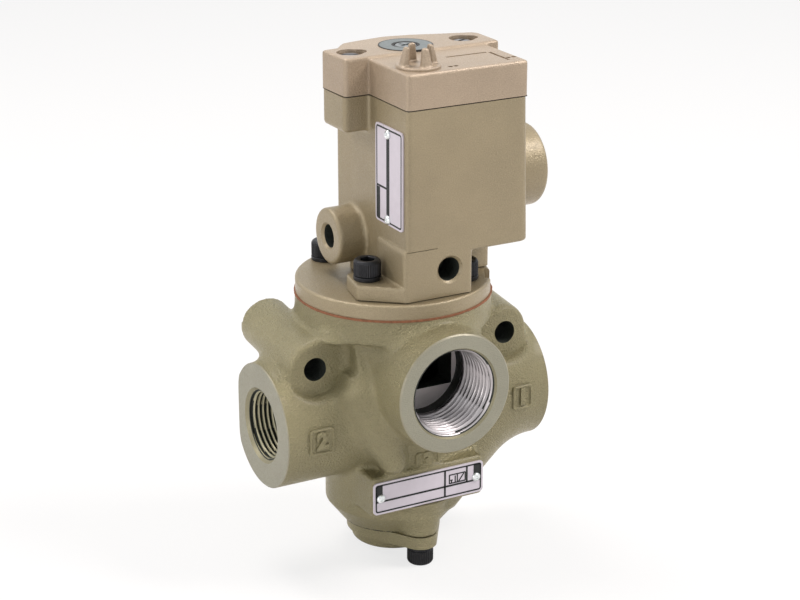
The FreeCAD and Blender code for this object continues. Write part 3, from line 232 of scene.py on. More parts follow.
def metallic_paint(name, colour, grain, grain_depth, flake, roughness, metallic, gloss_coat=0.0):
    """Metallic paint: grain of the surface under it, small bright flakes and slow colour drift."""
    made, nodes, links = new_material(name)
    shader = nodes["Principled BSDF"]
    drift = texture(nodes, links, "ShaderNodeTexNoise", 45.0, detail=3.0, roughness=0.6)
    speck = texture(nodes, links, "ShaderNodeTexNoise", 2600.0, detail=2.0, roughness=0.7)
    flakes = texture(nodes, links, "ShaderNodeTexVoronoi", flake)
    mix = nodes.new("ShaderNodeMix")
    mix.data_type = "RGBA"
    mix.blend_type = "MULTIPLY"
    mix.inputs["Factor"].default_value = 1.0
    vary(nodes, links, drift.outputs["Fac"], mix.inputs["A"], shade(colour, 0.93), shade(colour, 1.06))
    vary(nodes, links, speck.outputs["Fac"], mix.inputs["B"], 0.90, 1.12, (0.35, 0.65))
    links.new(mix.outputs["Result"], shader.inputs["Base Color"])
    vary(nodes, links, flakes.outputs["Color"], shader.inputs["Roughness"], roughness + 0.1, roughness - 0.1,
         (0.1, 0.9))
    shader.inputs["Metallic"].default_value = metallic
    shader.inputs["Coat Weight"].default_value = gloss_coat
    shader.inputs["Coat Roughness"].default_value = roughness * 0.8
    rough = texture(nodes, links, "ShaderNodeTexNoise", grain, detail=5.0, roughness=0.62)
    first = bump(nodes, links, rough.outputs["Fac"], 1.0, grain_depth)
    second = bump(nodes, links, flakes.outputs["Distance"], 0.35, 0.03, first)
    links.new(second.outputs["Normal"], shader.inputs["Normal"])
    return made


def mill(finish, slant, pitch, depth):
    """Fine straight cutter lines on top of a finish, slanted across the side ports' faces."""
    nodes, links = finish.node_tree.nodes, finish.node_tree.links
    turn = nodes.new("ShaderNodeMapping")
    turn.inputs["Rotation"].default_value = (slant, 0.0, 0.0)
    links.new(nodes["Place"].outputs["Object"], turn.inputs["Vector"])
    wave = cutter_lines(nodes, links, turn.outputs["Vector"], "BANDS", "Z", pitch, 2.0, 3.0)
    shader = nodes["Principled BSDF"]
    before = shader.inputs["Normal"].links[0].from_node
    lines = bump(nodes, links, wave, 0.7, depth, before)
    links.new(lines.outputs["Normal"], shader.inputs["Normal"])


def turned_metal(name, colour, roughness, axis, centre, pitch=0.35, depth=0.02, kind="BANDS", metallic=1.0):
    """Machined metal whose fine cutter lines follow one another along an axis, or ring it on a flat face."""
    made, nodes, links = new_material(name)
    shader = nodes["Principled BSDF"]
    shader.inputs["Base Color"].default_value = tuple(colour) + (1.0,)
    shader.inputs["Metallic"].default_value = metallic
    place = nodes.new("ShaderNodeTexCoord")
    shift = nodes.new("ShaderNodeMapping")
    shift.inputs["Location"].default_value = tuple(-c for c in (np.asarray(centre) * MM + STEM))
    links.new(place.outputs["Object"], shift.inputs["Vector"])
    wave = cutter_lines(nodes, links, shift.outputs["Vector"], kind, axis, pitch, 1.5, 2.0)
    patch = texture(nodes, links, "ShaderNodeTexNoise", 240.0, detail=4.0, roughness=0.6)
    vary(nodes, links, patch.outputs["Fac"], shader.inputs["Roughness"], roughness - 0.08, roughness + 0.12)
    lines = bump(nodes, links, wave, 0.6, depth)
    links.new(lines.outputs["Normal"], shader.inputs["Normal"])
    return made


def plain_finish(name, colour, roughness, metallic=0.0, grain=900.0, depth=0.03, drift=0.08):
    """A moulded, blackened or printed finish with fine grain and slight changes of tone."""
    made, nodes, links = new_material(name)
    shader = nodes["Principled BSDF"]
    cloud = texture(nodes, links, "ShaderNodeTexNoise", grain * 0.2, detail=4.0, roughness=0.6)
    fine = texture(nodes, links, "ShaderNodeTexNoise", grain, detail=3.0, roughness=0.6)
    vary(nodes, links, cloud.outputs["Fac"], shader.inputs["Base Color"], shade(colour, 1.0 - drift),
         shade(colour, 1.0 + drift))
    vary(nodes, links, fine.outputs["Fac"], shader.inputs["Roughness"], roughness - 0.06, roughness + 0.08)
    shader.inputs["Metallic"].default_value = metallic
    relief = bump(nodes, links, fine.outputs["Fac"], 0.6, depth)
    links.new(relief.outputs["Normal"], shader.inputs["Normal"])
    return made


CAST = metallic_paint("cast_paint", (0.265, 0.238, 0.135), 1300.0, 0.95, 1900.0, 0.42, 0.6, 0.25)
HOUSING = metallic_paint("housing_paint", (0.29, 0.238, 0.145), 1500.0, 0.26, 2600.0, 0.42, 0.35, 0.3)
# The housing's paint made lighter and pinker for the lid: painted light, standing in for the light that falls
# on the lid from above
HOUSING_PAINT_PAINTED_LIGHT = metallic_paint("housing_paint_painted_light", (0.375, 0.295, 0.21), 1500.0, 0.26, 2600.0, 0.42, 0.35, 0.3)
FACE = metallic_paint("port_face_paint", (0.27, 0.265, 0.205), 2400.0, 0.06, 2600.0, 0.45, 0.35)
mill(FACE, math.radians(40), 0.55, 0.05)
# Near black standing in for shade: painted shade inside the bores, chambers, holes and thread roots, where
# little light reaches
BORE_PAINTED_SHADE = metallic_paint("bore_painted_shade", (0.012, 0.016, 0.012), 780.0, 0.3, 1900.0, 0.7, 0.0)
BARE_FRONT = turned_metal("bare_thread", (0.46, 0.44, 0.45), 0.44, "Y", (0, 0, FRONT_LEVEL))
THREAD = metallic_paint("thread_paint", (0.42, 0.40, 0.27), 2400.0, 0.05, 2600.0, 0.42, 0.5)
RIM = plain_finish("machined_rim", (0.27, 0.255, 0.19), 0.45, 0.35)
FLOOR = turned_metal("turned_floor", (0.80, 0.75, 0.74), 0.5, "Y", (0, 0, FRONT_LEVEL), 0.8, 0.03, "RINGS",
                     0.5)
EDGE = metallic_paint("edge_paint", (0.27, 0.25, 0.16), 2400.0, 0.05, 2600.0, 0.45, 0.3)
# Near black for the stem and poppets: painted shade, as they sit in shade deep inside the body
INNER_METAL_PAINTED_SHADE = plain_finish("inner_metal_painted_shade", (0.05, 0.05, 0.045), 0.5, 0.3)
STEEL = turned_metal("bright_steel", (0.62, 0.63, 0.65), 0.32, "Z", (0, 0, 0), 0.3, 0.01)
ALUMINIUM = turned_metal("bare_aluminium", (0.74, 0.74, 0.76), 0.36, "Z", (0, 0, 0), 0.5, 0.015)
BRASS = turned_metal("brass_parts", (0.66, 0.50, 0.22), 0.34, "Z", (0, 0, 0), 0.3, 0.01)
SPRING = plain_finish("spring_steel", (0.30, 0.31, 0.33), 0.35, 1.0)
BLACK_STEEL = plain_finish("black_steel", (0.018, 0.019, 0.022), 0.42, 0.6, 1800.0, 0.02, 0.2)
RUBBER = plain_finish("seal_rubber", (0.02, 0.02, 0.02), 0.7)
GASKET_BLACK = plain_finish("gasket_black", (0.025, 0.022, 0.018), 0.8)
FIBRE = plain_finish("gasket_fibre", (0.24, 0.10, 0.05), 0.9, 0.0, 3200.0, 0.05, 0.25)
GREY_PLASTIC = plain_finish("grey_plastic", (0.15, 0.175, 0.18), 0.5)
banded(GREY_PLASTIC, OVERRIDE, [(5.0, grey(0.012)), (9.5, (0.15, 0.175, 0.18)), (10.0, grey(0.012))])
COIL_RESIN = plain_finish("coil_resin", (0.03, 0.03, 0.035), 0.5)
PLATE = plain_finish("plate_face", (0.60, 0.565, 0.63), 0.42, 0.1, 1600.0, 0.01, 0.03)
INK = plain_finish("plate_ink", (0.006, 0.009, 0.009), 0.6)
RIVET = plain_finish("rivet_metal", (0.70, 0.74, 0.75), 0.30, 0.9, 1200.0, 0.05, 0.08)
KNOB = plain_finish("override_knob", (0.24, 0.265, 0.275), 0.42, 0.5)

# The body's finishes, the near-black painted shade of its inside among them, in the order of their material
# numbers
BODY_FINISHES = [CAST, FACE, BARE_FRONT, BORE_PAINTED_SHADE, EDGE, RIM, FLOOR]

SLOT_FINISH = {
    "cast_paint": CAST, "housing_paint": HOUSING, "bare_aluminium": ALUMINIUM, "bright_steel": STEEL,
    "spring_steel": SPRING, "black_steel": BLACK_STEEL, "brass_parts": BRASS, "seal_rubber": RUBBER,
    "gasket_fibre": FIBRE, "gasket_black": GASKET_BLACK, "grey_plastic": GREY_PLASTIC,
    "coil_resin": COIL_RESIN, "plate_face": PLATE, "rivet_metal": RIVET,
}
# Painted light and shade: the lid gets the lighter copy of the housing paint, and the stem and poppets get
# near-black painted shade
NODE_FINISH = {"pilot_lid": HOUSING_PAINT_PAINTED_LIGHT, "valve_stem": INNER_METAL_PAINTED_SHADE, "exhaust_poppet": INNER_METAL_PAINTED_SHADE, "inlet_poppet": INNER_METAL_PAINTED_SHADE}
for subpart in frame["record"]["subparts"]:
    node = frame["nodes"][subpart["node"]]
    node.data.materials.clear()
    node.data.materials.append(NODE_FINISH.get(subpart["node"], SLOT_FINISH[subpart["material_slot"]]))


# Meshes

def placed_mesh(name, points, faces):
    """A mesh from drawn millimetres."""
    mesh = bpy.data.meshes.new(name)
    mesh.from_pydata((np.asarray(points) * MM + STEM).tolist(), [], [list(map(int, f)) for f in faces])
    return mesh


def make(name, points, faces, finish, body="valve", slot=None, sharp=32.0):
    """A piece from drawn millimetres, shaded smooth below the sharp angle, riding on a CAD body."""
    return dress(bpy.data.objects.new(name, placed_mesh(name, points, faces)), finish, body, sharp)


def edited(mesh, action):
    """Run an action on a mesh's editable form."""
    form = bmesh.new()
    form.from_mesh(mesh)
    action(form)
    form.to_mesh(mesh)
    form.free()


def face_outwards(form):
    bmesh.ops.recalc_face_normals(form, faces=form.faces)


def baked(piece):
    """A new mesh of the piece as its modifiers or its letters make it."""
    bpy.context.view_layer.update()
    return bpy.data.meshes.new_from_object(piece.evaluated_get(bpy.context.evaluated_depsgraph_get()))


def dress(piece, finish, body="valve", sharp=32.0):
    """Link, shade and paint a piece, with one finish or a list of them."""
    if piece.name not in bpy.context.scene.collection.objects:
        bpy.context.scene.collection.objects.link(piece)
    mesh = piece.data
    edited(mesh, face_outwards)
    mesh.shade_smooth()
    mesh.set_sharp_from_angle(angle=math.radians(sharp))
    mesh.materials.clear()
    for one in finish if isinstance(finish, list) else [finish]:
        mesh.materials.append(one)
    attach(piece, body)
    return piece


def stack(loops, closed=False):
    """Points and faces of equal loops joined one after the other. Open stacks are capped at both ends,
    and closed ones join end to start."""
    count, size = len(loops), len(loops[0])
    faces = []
    for n in range(count if closed else count - 1):
        low, high = n * size, (n + 1) % count * size
        for k in range(size):
            after = (k + 1) % size
            faces.append((low + k, low + after, high + after, high + k))
    if not closed:
        faces.append(tuple(range(size))[::-1])
        faces.append(tuple(range((count - 1) * size, count * size)))
    return np.concatenate(loops), faces


def ring(radius, height, segments):
    """A loop about Z. The radius may be a number, one for each point, or a function of the angle."""
    angles = np.arange(segments) * 2 * math.pi / segments
    radii = [radius(a) for a in angles] if callable(radius) else radius
    radii = np.broadcast_to(radii, segments)
    return np.stack([radii * np.cos(angles), radii * np.sin(angles), np.full(segments, float(height))], 1)


def lathe(rings, segments=96):
    """Points and faces of (height, radius) rings stacked along Z."""
    return stack([ring(radius, height, segments) for height, radius in rings])


def aim(points, origin, direction):
    """Turn points so that their Z runs along the direction, then move them to the origin."""
    turn = np.array(Vector(direction).to_track_quat("Z", "Y").to_matrix())
    return np.asarray(points) @ turn.T + np.asarray(origin, dtype=float)


def merge(shapes):
    """Several (points, faces) as one."""
    points, faces, start = [], [], 0
    for part_points, part_faces in shapes:
        points.append(np.asarray(part_points, dtype=float))
        faces.extend(tuple(index + start for index in face) for face in part_faces)
        start += len(part_points)
    return np.concatenate(points), faces


def slab(low, high):
    """The eight points and six faces of a box."""
    points = [(x, y, z) for x in (low[0], high[0]) for y in (low[1], high[1]) for z in (low[2], high[2])]
    faces = [(0, 1, 3, 2), (4, 6, 7, 5), (0, 4, 5, 1), (2, 3, 7, 6), (0, 2, 6, 4), (1, 5, 7, 3)]
    return np.array(points, dtype=float), faces


# Fields: how far each point of a grid lies outside a shape, in millimetres

def without(field, tool, reach):
    """A field with a tool cut out of it, and the edge between them rounded."""
    return -blended(-field, tool, reach)


def blended(first, second, reach):
    """The union of two fields with a fillet of about the reach."""
    part = np.clip(0.5 + 0.5 * (second - first) / reach, 0.0, 1.0)
    return second + (first - second) * part - reach * part * (1.0 - part)


def along_line(x, y, z, start, end):
    """How far along a line and away from it each point lies, and the line's length."""
    start, end = np.array(start, dtype=float), np.array(end, dtype=float)
    length = np.linalg.norm(end - start)
    along = (end - start) / length
    px, py, pz = x - start[0], y - start[1], z - start[2]
    run = px * along[0] + py * along[1] + pz * along[2]
    away = np.sqrt(np.maximum(px * px + py * py + pz * pz - run * run, 0.0))
    return run, away, length


def bar(x, y, z, start, end, radius, end_radius=None):
    """A round bar with flat ends, tapering to the end radius."""
    run, away, length = along_line(x, y, z, start, end)
    end_radius = radius if end_radius is None else end_radius
    wall = away - (radius + (end_radius - radius) * np.clip(run / length, 0.0, 1.0))
    return np.maximum(wall, np.maximum(-run, run - length))


def pill(x, y, z, start, end, radius, end_radius):
    """A bar with round ends."""
    run, away, length = along_line(x, y, z, start, end)
    part = np.clip(run / length, 0.0, 1.0)
    return np.hypot(away, run - part * length) - (radius + (end_radius - radius) * part)


def rounded_box(x, y, z, low, high, edge):
    """A box with all its edges rounded."""
    middle, half = (np.array(low) + high) / 2, (np.array(high) - low) / 2 - edge
    gaps = [np.abs(axis - m) - h for axis, m, h in zip((x, y, z), middle, half)]
    outside = np.sqrt(sum(np.maximum(g, 0.0) ** 2 for g in gaps))
    return outside + np.minimum(np.maximum(np.maximum(gaps[0], gaps[1]), gaps[2]), 0.0) - edge


def outline_field(x, y, corners):
    """Signed distance to a closed outline in a plane, negative inside."""
    away = np.full(x.shape, np.inf)
    inside = np.zeros(x.shape, dtype=bool)
    for (ax, ay), (bx, by) in zip(corners, corners[1:] + corners[:1]):
        dx, dy = bx - ax, by - ay
        part = np.clip(((x - ax) * dx + (y - ay) * dy) / (dx * dx + dy * dy), 0.0, 1.0)
        away = np.minimum(away, (x - ax - part * dx) ** 2 + (y - ay - part * dy) ** 2)
        if ay != by:
            inside ^= ((ay > y) != (by > y)) & (x < dx * (y - ay) / dy + ax)
    return np.where(inside, -1.0, 1.0) * np.sqrt(away)


def rounded_meet(first, second, edge):
    """Where two fields overlap, with the corner between them rounded."""
    a, b = first + edge, second + edge
    return np.hypot(np.maximum(a, 0.0), np.maximum(b, 0.0)) + np.minimum(np.maximum(a, b), 0.0) - edge


def between(value, low, high):
    """A slab between two values."""
    return np.abs(value - (low + high) / 2) - (high - low) / 2


def drum(x, y, z, start, end, radius, edge):
    """A round bar with rounded rims."""
    run, away, length = along_line(x, y, z, start, end)
    return rounded_meet(away - radius, between(run, 0.0, length), edge)


def shrunk(corners, inset):
    """An outline moved inwards. Its corners run counterclockwise."""
    moved = []
    for before, here, after in zip(corners[-1:] + corners[:-1], corners, corners[1:] + corners[:1]):
        first, second = np.subtract(here, before), np.subtract(after, here)
        first, second = first / np.linalg.norm(first), second / np.linalg.norm(second)
        inward = np.array([-first[1] - second[1], first[0] + second[0]])
        moved.append(tuple(np.array(here) + inward * inset / (1.0 + first @ second)))
    return moved


def plan_field(x, y, corners, edge):
    """A plan outline with rounded corners, the same at every height."""
    return outline_field(x[:, :, :1], y[:, :, :1], shrunk(corners, edge)) - edge


def skin(field, low, high, step):
    """Points and quads where the field crosses zero, one point in each grid cell on the surface."""
    axes = [np.arange(a, b + step, step) for a, b in zip(low, high)]
    value = field(*np.meshgrid(*axes, indexing="ij"))
    cells = tuple(n - 1 for n in value.shape)
    total, count = np.zeros(cells + (3,)), np.zeros(cells)
    crossings = []
    for axis in range(3):
        first = np.take(value, range(value.shape[axis] - 1), axis)
        second = np.take(value, range(1, value.shape[axis]), axis)
        crossed = (first < 0) != (second < 0)
        part = np.where(crossed, first / np.where(crossed, first - second, 1.0), 0.0)
        crossings.append((first < 0, crossed))
        others = [a for a in range(3) if a != axis]
        for shifts in ((0, 0), (0, 1), (1, 0), (1, 1)):
            window = [slice(0, cells[axis])] * 3
            for other, shift in zip(others, shifts):
                window[other] = slice(shift, cells[other] + shift)
            hit = crossed[tuple(window)]
            total[..., axis] += part[tuple(window)]
            for other, shift in zip(others, shifts):
                total[..., other] += hit * shift
            count += hit
    used = count > 0
    number = np.full(cells, -1)
    number[used] = np.arange(used.sum())
    place = np.stack(np.nonzero(used), 1) + total[used] / count[used][:, None]
    points = place * step + np.array([a[0] for a in axes])
    faces = []
    for axis in range(3):
        inner, crossed = crossings[axis]
        u, v = (axis + 1) % 3, (axis + 2) % 3
        spots = np.stack(np.nonzero(crossed), 1)
        for a in (u, v):
            spots = spots[(spots[:, a] > 0) & (spots[:, a] < cells[a])]
        corners = []
        for shift_u, shift_v in ((1, 1), (0, 1), (0, 0), (1, 0)):
            cell = spots.copy()
            cell[:, u] -= shift_u
            cell[:, v] -= shift_v
            corners.append(number[tuple(cell.T)])
        quads = np.stack(corners, 1)
        outward = inner[tuple(spots.T)]
        faces.append(np.where(outward[:, None], quads, quads[:, ::-1]))
    return points, np.concatenate(faces)


def cut(piece, cutters):
    """Cut closed shapes out of a piece for good. Each cutter is (points, faces)."""
    helpers = []
    for points, faces in cutters:
        mesh = placed_mesh("cutter", points, faces)
        edited(mesh, face_outwards)
        helper = bpy.data.objects.new("cutter", mesh)
        bpy.context.scene.collection.objects.link(helper)
        step = piece.modifiers.new("cut", "BOOLEAN")
        step.operation = "DIFFERENCE"
        step.solver = "MANIFOLD"
        step.object = helper
        helpers.append(helper)
    result = baked(piece)
    piece.modifiers.clear()
    piece.data = result
    for helper in helpers:
        bpy.data.objects.remove(helper)
    return piece


def face_places(mesh):
    """The drawn centres of a mesh's faces along X, Y and Z, and how far their normals point that way."""
    count = len(mesh.polygons)
    centres, normals = np.zeros(count * 3), np.zeros(count * 3)
    mesh.polygons.foreach_get("center", centres)
    mesh.polygons.foreach_get("normal", normals)
    return (*((centres.reshape(-1, 3) - STEM) / MM).T, *np.abs(normals.reshape(-1, 3)).T)


# The cast body

# The rib left of the front port, as bars with round ends: start, end and their radii
RIB = [((-31.5, -14.0, 31.0), (-25.5, -20.2, 16.0), 6.6, 6.4),
       ((-25.5, -20.2, 16.0), (-19.8, -24.0, 2.0), 6.4, 5.8),
       ((-19.8, -24.0, 2.0), (-14.5, -26.3, -12.0), 5.8, 5.2)]
# The trunk's outline from its foot up, as radius and level
TRUNK = [(-5.0, FOOT), (19.1, FOOT), (TRUNK_RADIUS, -38.4), (TRUNK_RADIUS, -6.0), (28.5, 8.0), (29.5, 26.0),
         (33.0, 31.0), (33.0, 40.0), (-5.0, 40.0)]
# The skirt between the foot and port 1, as a bar: start, end and radius
SKIRT = ((9, 0, -30.8), (41, 0, -1.3), 20.3)
PLATE_PAD = ((-23.4, -27.5, -33.4), (23.4, 0, -17.6))
# The chambers about the stem, from below up, as level and radius
CHAMBERS = [(-60, 17), (-12, 17), (-12, 11), (-8, 11), (-8, 19), (4, 19), (4, 11), (8, 11), (8, 17), (27, 17),
            (27, 7), (30, 7), (30, 20), (60, 20)]


def body_field(x, y, z):
    """The casting before machining: every boss, lug and rib blended into the trunk."""
    trunk = outline_field(np.sqrt(x * x + y * y), z, TRUNK) - 0.6
    side = bar(x, y, z, (-PORT_REACH - 2, 0, 0), (PORT_REACH + 2, 0, 0), BOSS_RADIUS)
    field = blended(trunk, -blended(-side, BOSS_BACK - y, 3.0), 5.0)
    front = bar(x, y, z, (0, 0, FRONT_LEVEL), (0, -FRONT_REACH - 2, FRONT_LEVEL), FRONT_ROOT, FRONT_BOSS)
    field = blended(field, front, 6.0)
    lug_end = (LUG_PLACE, LUG_BACK, LUG_LEVEL + LUG_RISE)
    for mirrored in (-x, x):
        lug = bar(mirrored, y, z, (LUG_PLACE, LUG_FRONT, LUG_LEVEL), lug_end, 9.6, 9.9)
        web = rounded_box(mirrored, y, z, (24, LUG_FRONT, 4), (44, 11, LUG_LEVEL + 6), 4.0)
        field = blended(field, blended(lug, web, 7.0), 6.0)
    for start, end, radius, end_radius in RIB:
        field = blended(field, pill(x, y, z, start, end, radius, end_radius), 6.0)
    field = blended(field, bar(x, y, z, *SKIRT), 5.0)
    field = blended(field, rounded_box(x, y, z, *PLATE_PAD, 1.2), 2.5)
    for mirrored in (-y, y):
        field = blended(field, bar(x, mirrored, z, (0, EAR_PLACE, FOOT), (0, 20, -29), 6.25, 9.0), 4.0)
    neck = bar(x, y, z, (0, 0, NECK_FOOT), (0, 0, BODY_TOP + 2), NECK_RADIUS)
    field = blended(field, neck, 2.6)
    for mirrored in (-x, x):
        seat = bar(mirrored, y, z, (LUG_PLACE, -40, LUG_LEVEL), (LUG_PLACE, LUG_FRONT - 0.3, LUG_LEVEL), 9.9)
        flat_end = (52, LUG_FRONT - 0.1, NECK_FOOT - 1)
        flat = rounded_box(mirrored, y, z, (27, -40, LUG_LEVEL - 2), flat_end, 3.0)
        field = without(without(field, seat, 3.0), flat, 1.2)
    return field


def bore(origin, direction, rings, segments=96):
    """A turned shape, as (depth, radius) rings from the origin inwards."""
    points, faces = lathe(rings, segments)
    return aim(points, origin, direction), faces


def hole(origin, direction, radius, depth, segments):
    return bore(origin, direction, [(0, radius), (depth, radius)], segments)


def rim_cutter(origin, direction, radius, width):
    """A ring of triangular section that chamfers the outer edge of a round face."""
    section = [(-0.5, radius - width - 0.5), (2.0, radius - width + 2.0), (-0.5, radius - width + 2.0)]
    points, faces = stack([ring(r, h, 144) for h, r in section], closed=True)
    return aim(points, origin, direction), faces


def body_cutters():
    """Machined faces, threads' bores, mouths and the cored chambers."""
    far = 80.0
    cutters = [
        slab((PORT_REACH, -far, -far), (far, far, far)), slab((-far, -far, -far), (-PORT_REACH, far, far)),
        slab((-far, -far, -far), (far, -FRONT_REACH, far)), slab((-far, -far, BODY_TOP), (far, far, far)),
        slab((-far, -far, -far), (far, far, FOOT)), slab((-24.5, -far, -32.4), (24.5, -27.5, -19.0)),
    ]
    for side in (-1, 1):
        cutters.append(hole((side * LUG_PLACE, -30, LUG_LEVEL), (0, 1, 0), LUG_HOLE, 70, 64))
        mouth = [(-1.0, SIDE_THREAD + 1.9), (SIDE_MOUTH_DEPTH, SIDE_THREAD), (SIDE_THREAD_DEPTH, SIDE_THREAD),
                 (SIDE_THREAD_DEPTH, PASSAGE), (40.0 if side < 0 else 24.0, PASSAGE)]
        cutters.append(bore((side * PORT_REACH, 0, 0), (-side, 0, 0), mouth))
    front = [(-1.0, FRONT_THREAD + 1.3), (FRONT_MOUTH_DEPTH, FRONT_THREAD),
             (FRONT_THREAD_DEPTH, FRONT_THREAD), (FRONT_THREAD_DEPTH, 15.4), (FLOOR_DEPTH, 15.4)]
    cutters.append(bore((0, -FRONT_REACH, FRONT_LEVEL), (0, 1, 0), front, 128))
    cutters.append(slab((-13.4, FLOOR_DEPTH - FRONT_REACH - 0.5, LEDGE), (13.4, -4, 26.9)))
    for origin, direction, radius in (((PORT_REACH, 0, 0), (-1, 0, 0), BOSS_RADIUS),
                                      ((-PORT_REACH, 0, 0), (1, 0, 0), BOSS_RADIUS),
                                      ((0, -FRONT_REACH, FRONT_LEVEL), (0, 1, 0), FRONT_BOSS)):
        cutters.append(rim_cutter(origin, direction, radius, CHAMFER))
    cutters.append(bore((0, 0, 0), UP, CHAMBERS))
    cutters.append(hole((38, 0, -4), (-28, 0, -26), 7, 38, 48))
    return cutters


def make_body():
    step = 0.6
    points, faces = skin(body_field, body_low - 3.0, body_high + 3.0, step)
    casting = make("body_casting", points, faces, CAST, slot="cast_paint")
    cut(casting, body_cutters())
    dress(casting, BODY_FINISHES, sharp=28.0)
    paint_machined(casting.data)
    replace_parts(casting, "valve_body")


def paint_machined(mesh):
    """Give the machined faces and the front thread their own finish, and paint near-black shade inside."""
    face, bare, shaded, edge, rim, floor = range(1, len(BODY_FINISHES))
    x, y, z, nx, ny, nz = face_places(mesh)
    side_depth, front_depth = PORT_REACH - np.abs(x), FRONT_REACH + y
    index = np.zeros(len(x), dtype=np.int32)
    side_way, front_way = np.hypot(y, z), np.hypot(x, z - FRONT_LEVEL)
    index[(side_depth < 0.05) & (nx > 0.9)] = face
    index[(front_depth < 0.05) & (ny > 0.9)] = face
    index[(side_depth < 1.3) & (side_way < SIDE_THREAD + 1.2) & (nx < 0.9)] = edge
    index[(front_depth < 1.0) & (front_way < FRONT_THREAD + 0.9) & (ny < 0.9)] = edge
    # Painted shade: the cored chambers, the side bores past their mouths, port 3's window and the lug holes are
    # painted near black
    inside = (np.hypot(x, y) < 20.3) & (z > FOOT + 0.1) & (z < BODY_TOP - 0.1)
    inside |= (side_way < SIDE_THREAD + 0.1) & (side_depth > 1.3)
    deep = front_depth > FLOOR_DEPTH + 0.1
    inside |= (np.abs(x) < 13.5) & deep & (y < 0) & (z > LEDGE - 0.1) & (z < 27.2)
    inside |= (np.hypot(np.abs(x) - LUG_PLACE, z - LUG_LEVEL) < LUG_HOLE + 0.05) & (nx * nx + nz * nz > 0.9)
    index[inside] = shaded
    front_bore = (front_way < FRONT_THREAD + 0.1) & (front_depth > 1.0) & ~deep & (z > 0)
    # Painted shade: past the front thread's end the wall is painted near black
    behind_thread = (front_depth > FRONT_THREAD_DEPTH - 0.1) & (ny < 0.9)
    index[front_bore] = np.where(behind_thread, shaded, bare)[front_bore]
    index[front_bore & (front_depth > FLOOR_DEPTH - 0.1) & (ny > 0.9)] = floor
    slanted = (ny > 0.6) & (ny < 0.8) & (front_depth < 0.5) & (front_way > FRONT_BOSS - 0.65)
    slanted |= (nx > 0.6) & (nx < 0.8) & (side_depth < 0.5) & (side_way > BOSS_RADIUS - 0.7)
    index[slanted] = rim
    mesh.polygons.foreach_set("material_index", index)
    mesh.update()


# The coil housing, its lid and the manual override

def housing_plan(right):
    """The box's outline in plan, with its right wall at a place of its own."""
    return [(BOX_LEFT, BOX_FRONT), (right, BOX_FRONT), (right, 14.6), (29.0, 17.1), (18.5, 20.6), (8.0, 22.6),
            (-3.8, 21.6), (BOX_LEFT - 0.5, 21.6), (BOX_LEFT, 10.5)]


BLOCK_PLAN = [(BOX_LEFT - 1.0, BOX_FRONT), (15.1, BOX_FRONT), (15.1, -10.5), (35.1, -10.5),
              (35.1, 17.2), (-6.7, 17.2), (BOX_LEFT, 12.2), (BOX_LEFT, -10.5), (BOX_LEFT - 1.0, -10.5)]
FOOT_LUG_PLAN = [(-12.4, -31.9), (-9.7, -31.9), (-9.7, -5.0), (BOX_LEFT, -4.0), (-23.3, -7.6), (-25.9, -21.0)]
LID_BACK_PLAN = [(-21.3, -4.4), (42.3, -3.5), (42.3, 11.6), (40.6, 13.8), (29.0, 17.4), (18.5, 20.9),
                 (8.0, 22.9), (-3.8, 21.2), (-10.3, 19.8), (-12.5, 17.4), (-15.5, 13.8), (-21.9, 13.2)]
LID_FRONT_PLAN = [(BOX_LEFT, BOX_FRONT), (LID_RIGHT, BOX_FRONT), (LID_RIGHT, 2.0), (BOX_LEFT, 2.0)]
# Corners in plan of the two lugs under the lid
LID_EARS = [((-21.7, -4.4), (-9, 13.2)), ((33, -3.5), (42.3, 12.6))]


def housing_field(x, y, z):
    """The housing before boring: box, lower block, foot lug, lid lugs, port boss and conduit hub."""
    widened = x - BOX_RIGHT - 1.5 * (BOX_TOP - z) / (BOX_TOP - BOX_FOOT)
    box = -blended(-plan_field(x, y, housing_plan(BOX_RIGHT + 5), 1.6), -widened, 3.0)
    field = rounded_meet(box, between(z, BOX_FOOT, BOX_TOP + 4), 1.3)
    below = HOUSING_FOOT - 3
    block = rounded_meet(plan_field(x, y, BLOCK_PLAN, 1.4), between(z, below, BOX_FOOT + 3.2), 0.5)
    field = blended(field, block, 0.15)
    lug = rounded_meet(plan_field(x, y, FOOT_LUG_PLAN, 1.2), between(z, below, HOUSING_FOOT + 5.3), 0.6)
    field = blended(field, lug, 0.8)
    for low, high in LID_EARS:
        ear = rounded_box(x, y, z, (*low, BOX_TOP - 13), (*high, BOX_TOP + 6), 1.6)
        field = blended(field, ear, 1.6)
    boss = drum(x, y, z, (-9, *side_pilot[1:]), (SIDE_MOUTH, *side_pilot[1:]), 10.5, 1.1)
    field = blended(field, boss, 2.0)
    hub = drum(x, y, z, (33, *conduit[1:]), (HUB_END, *conduit[1:]), 15.6, 1.5)
    return blended(field, hub, 3.5)


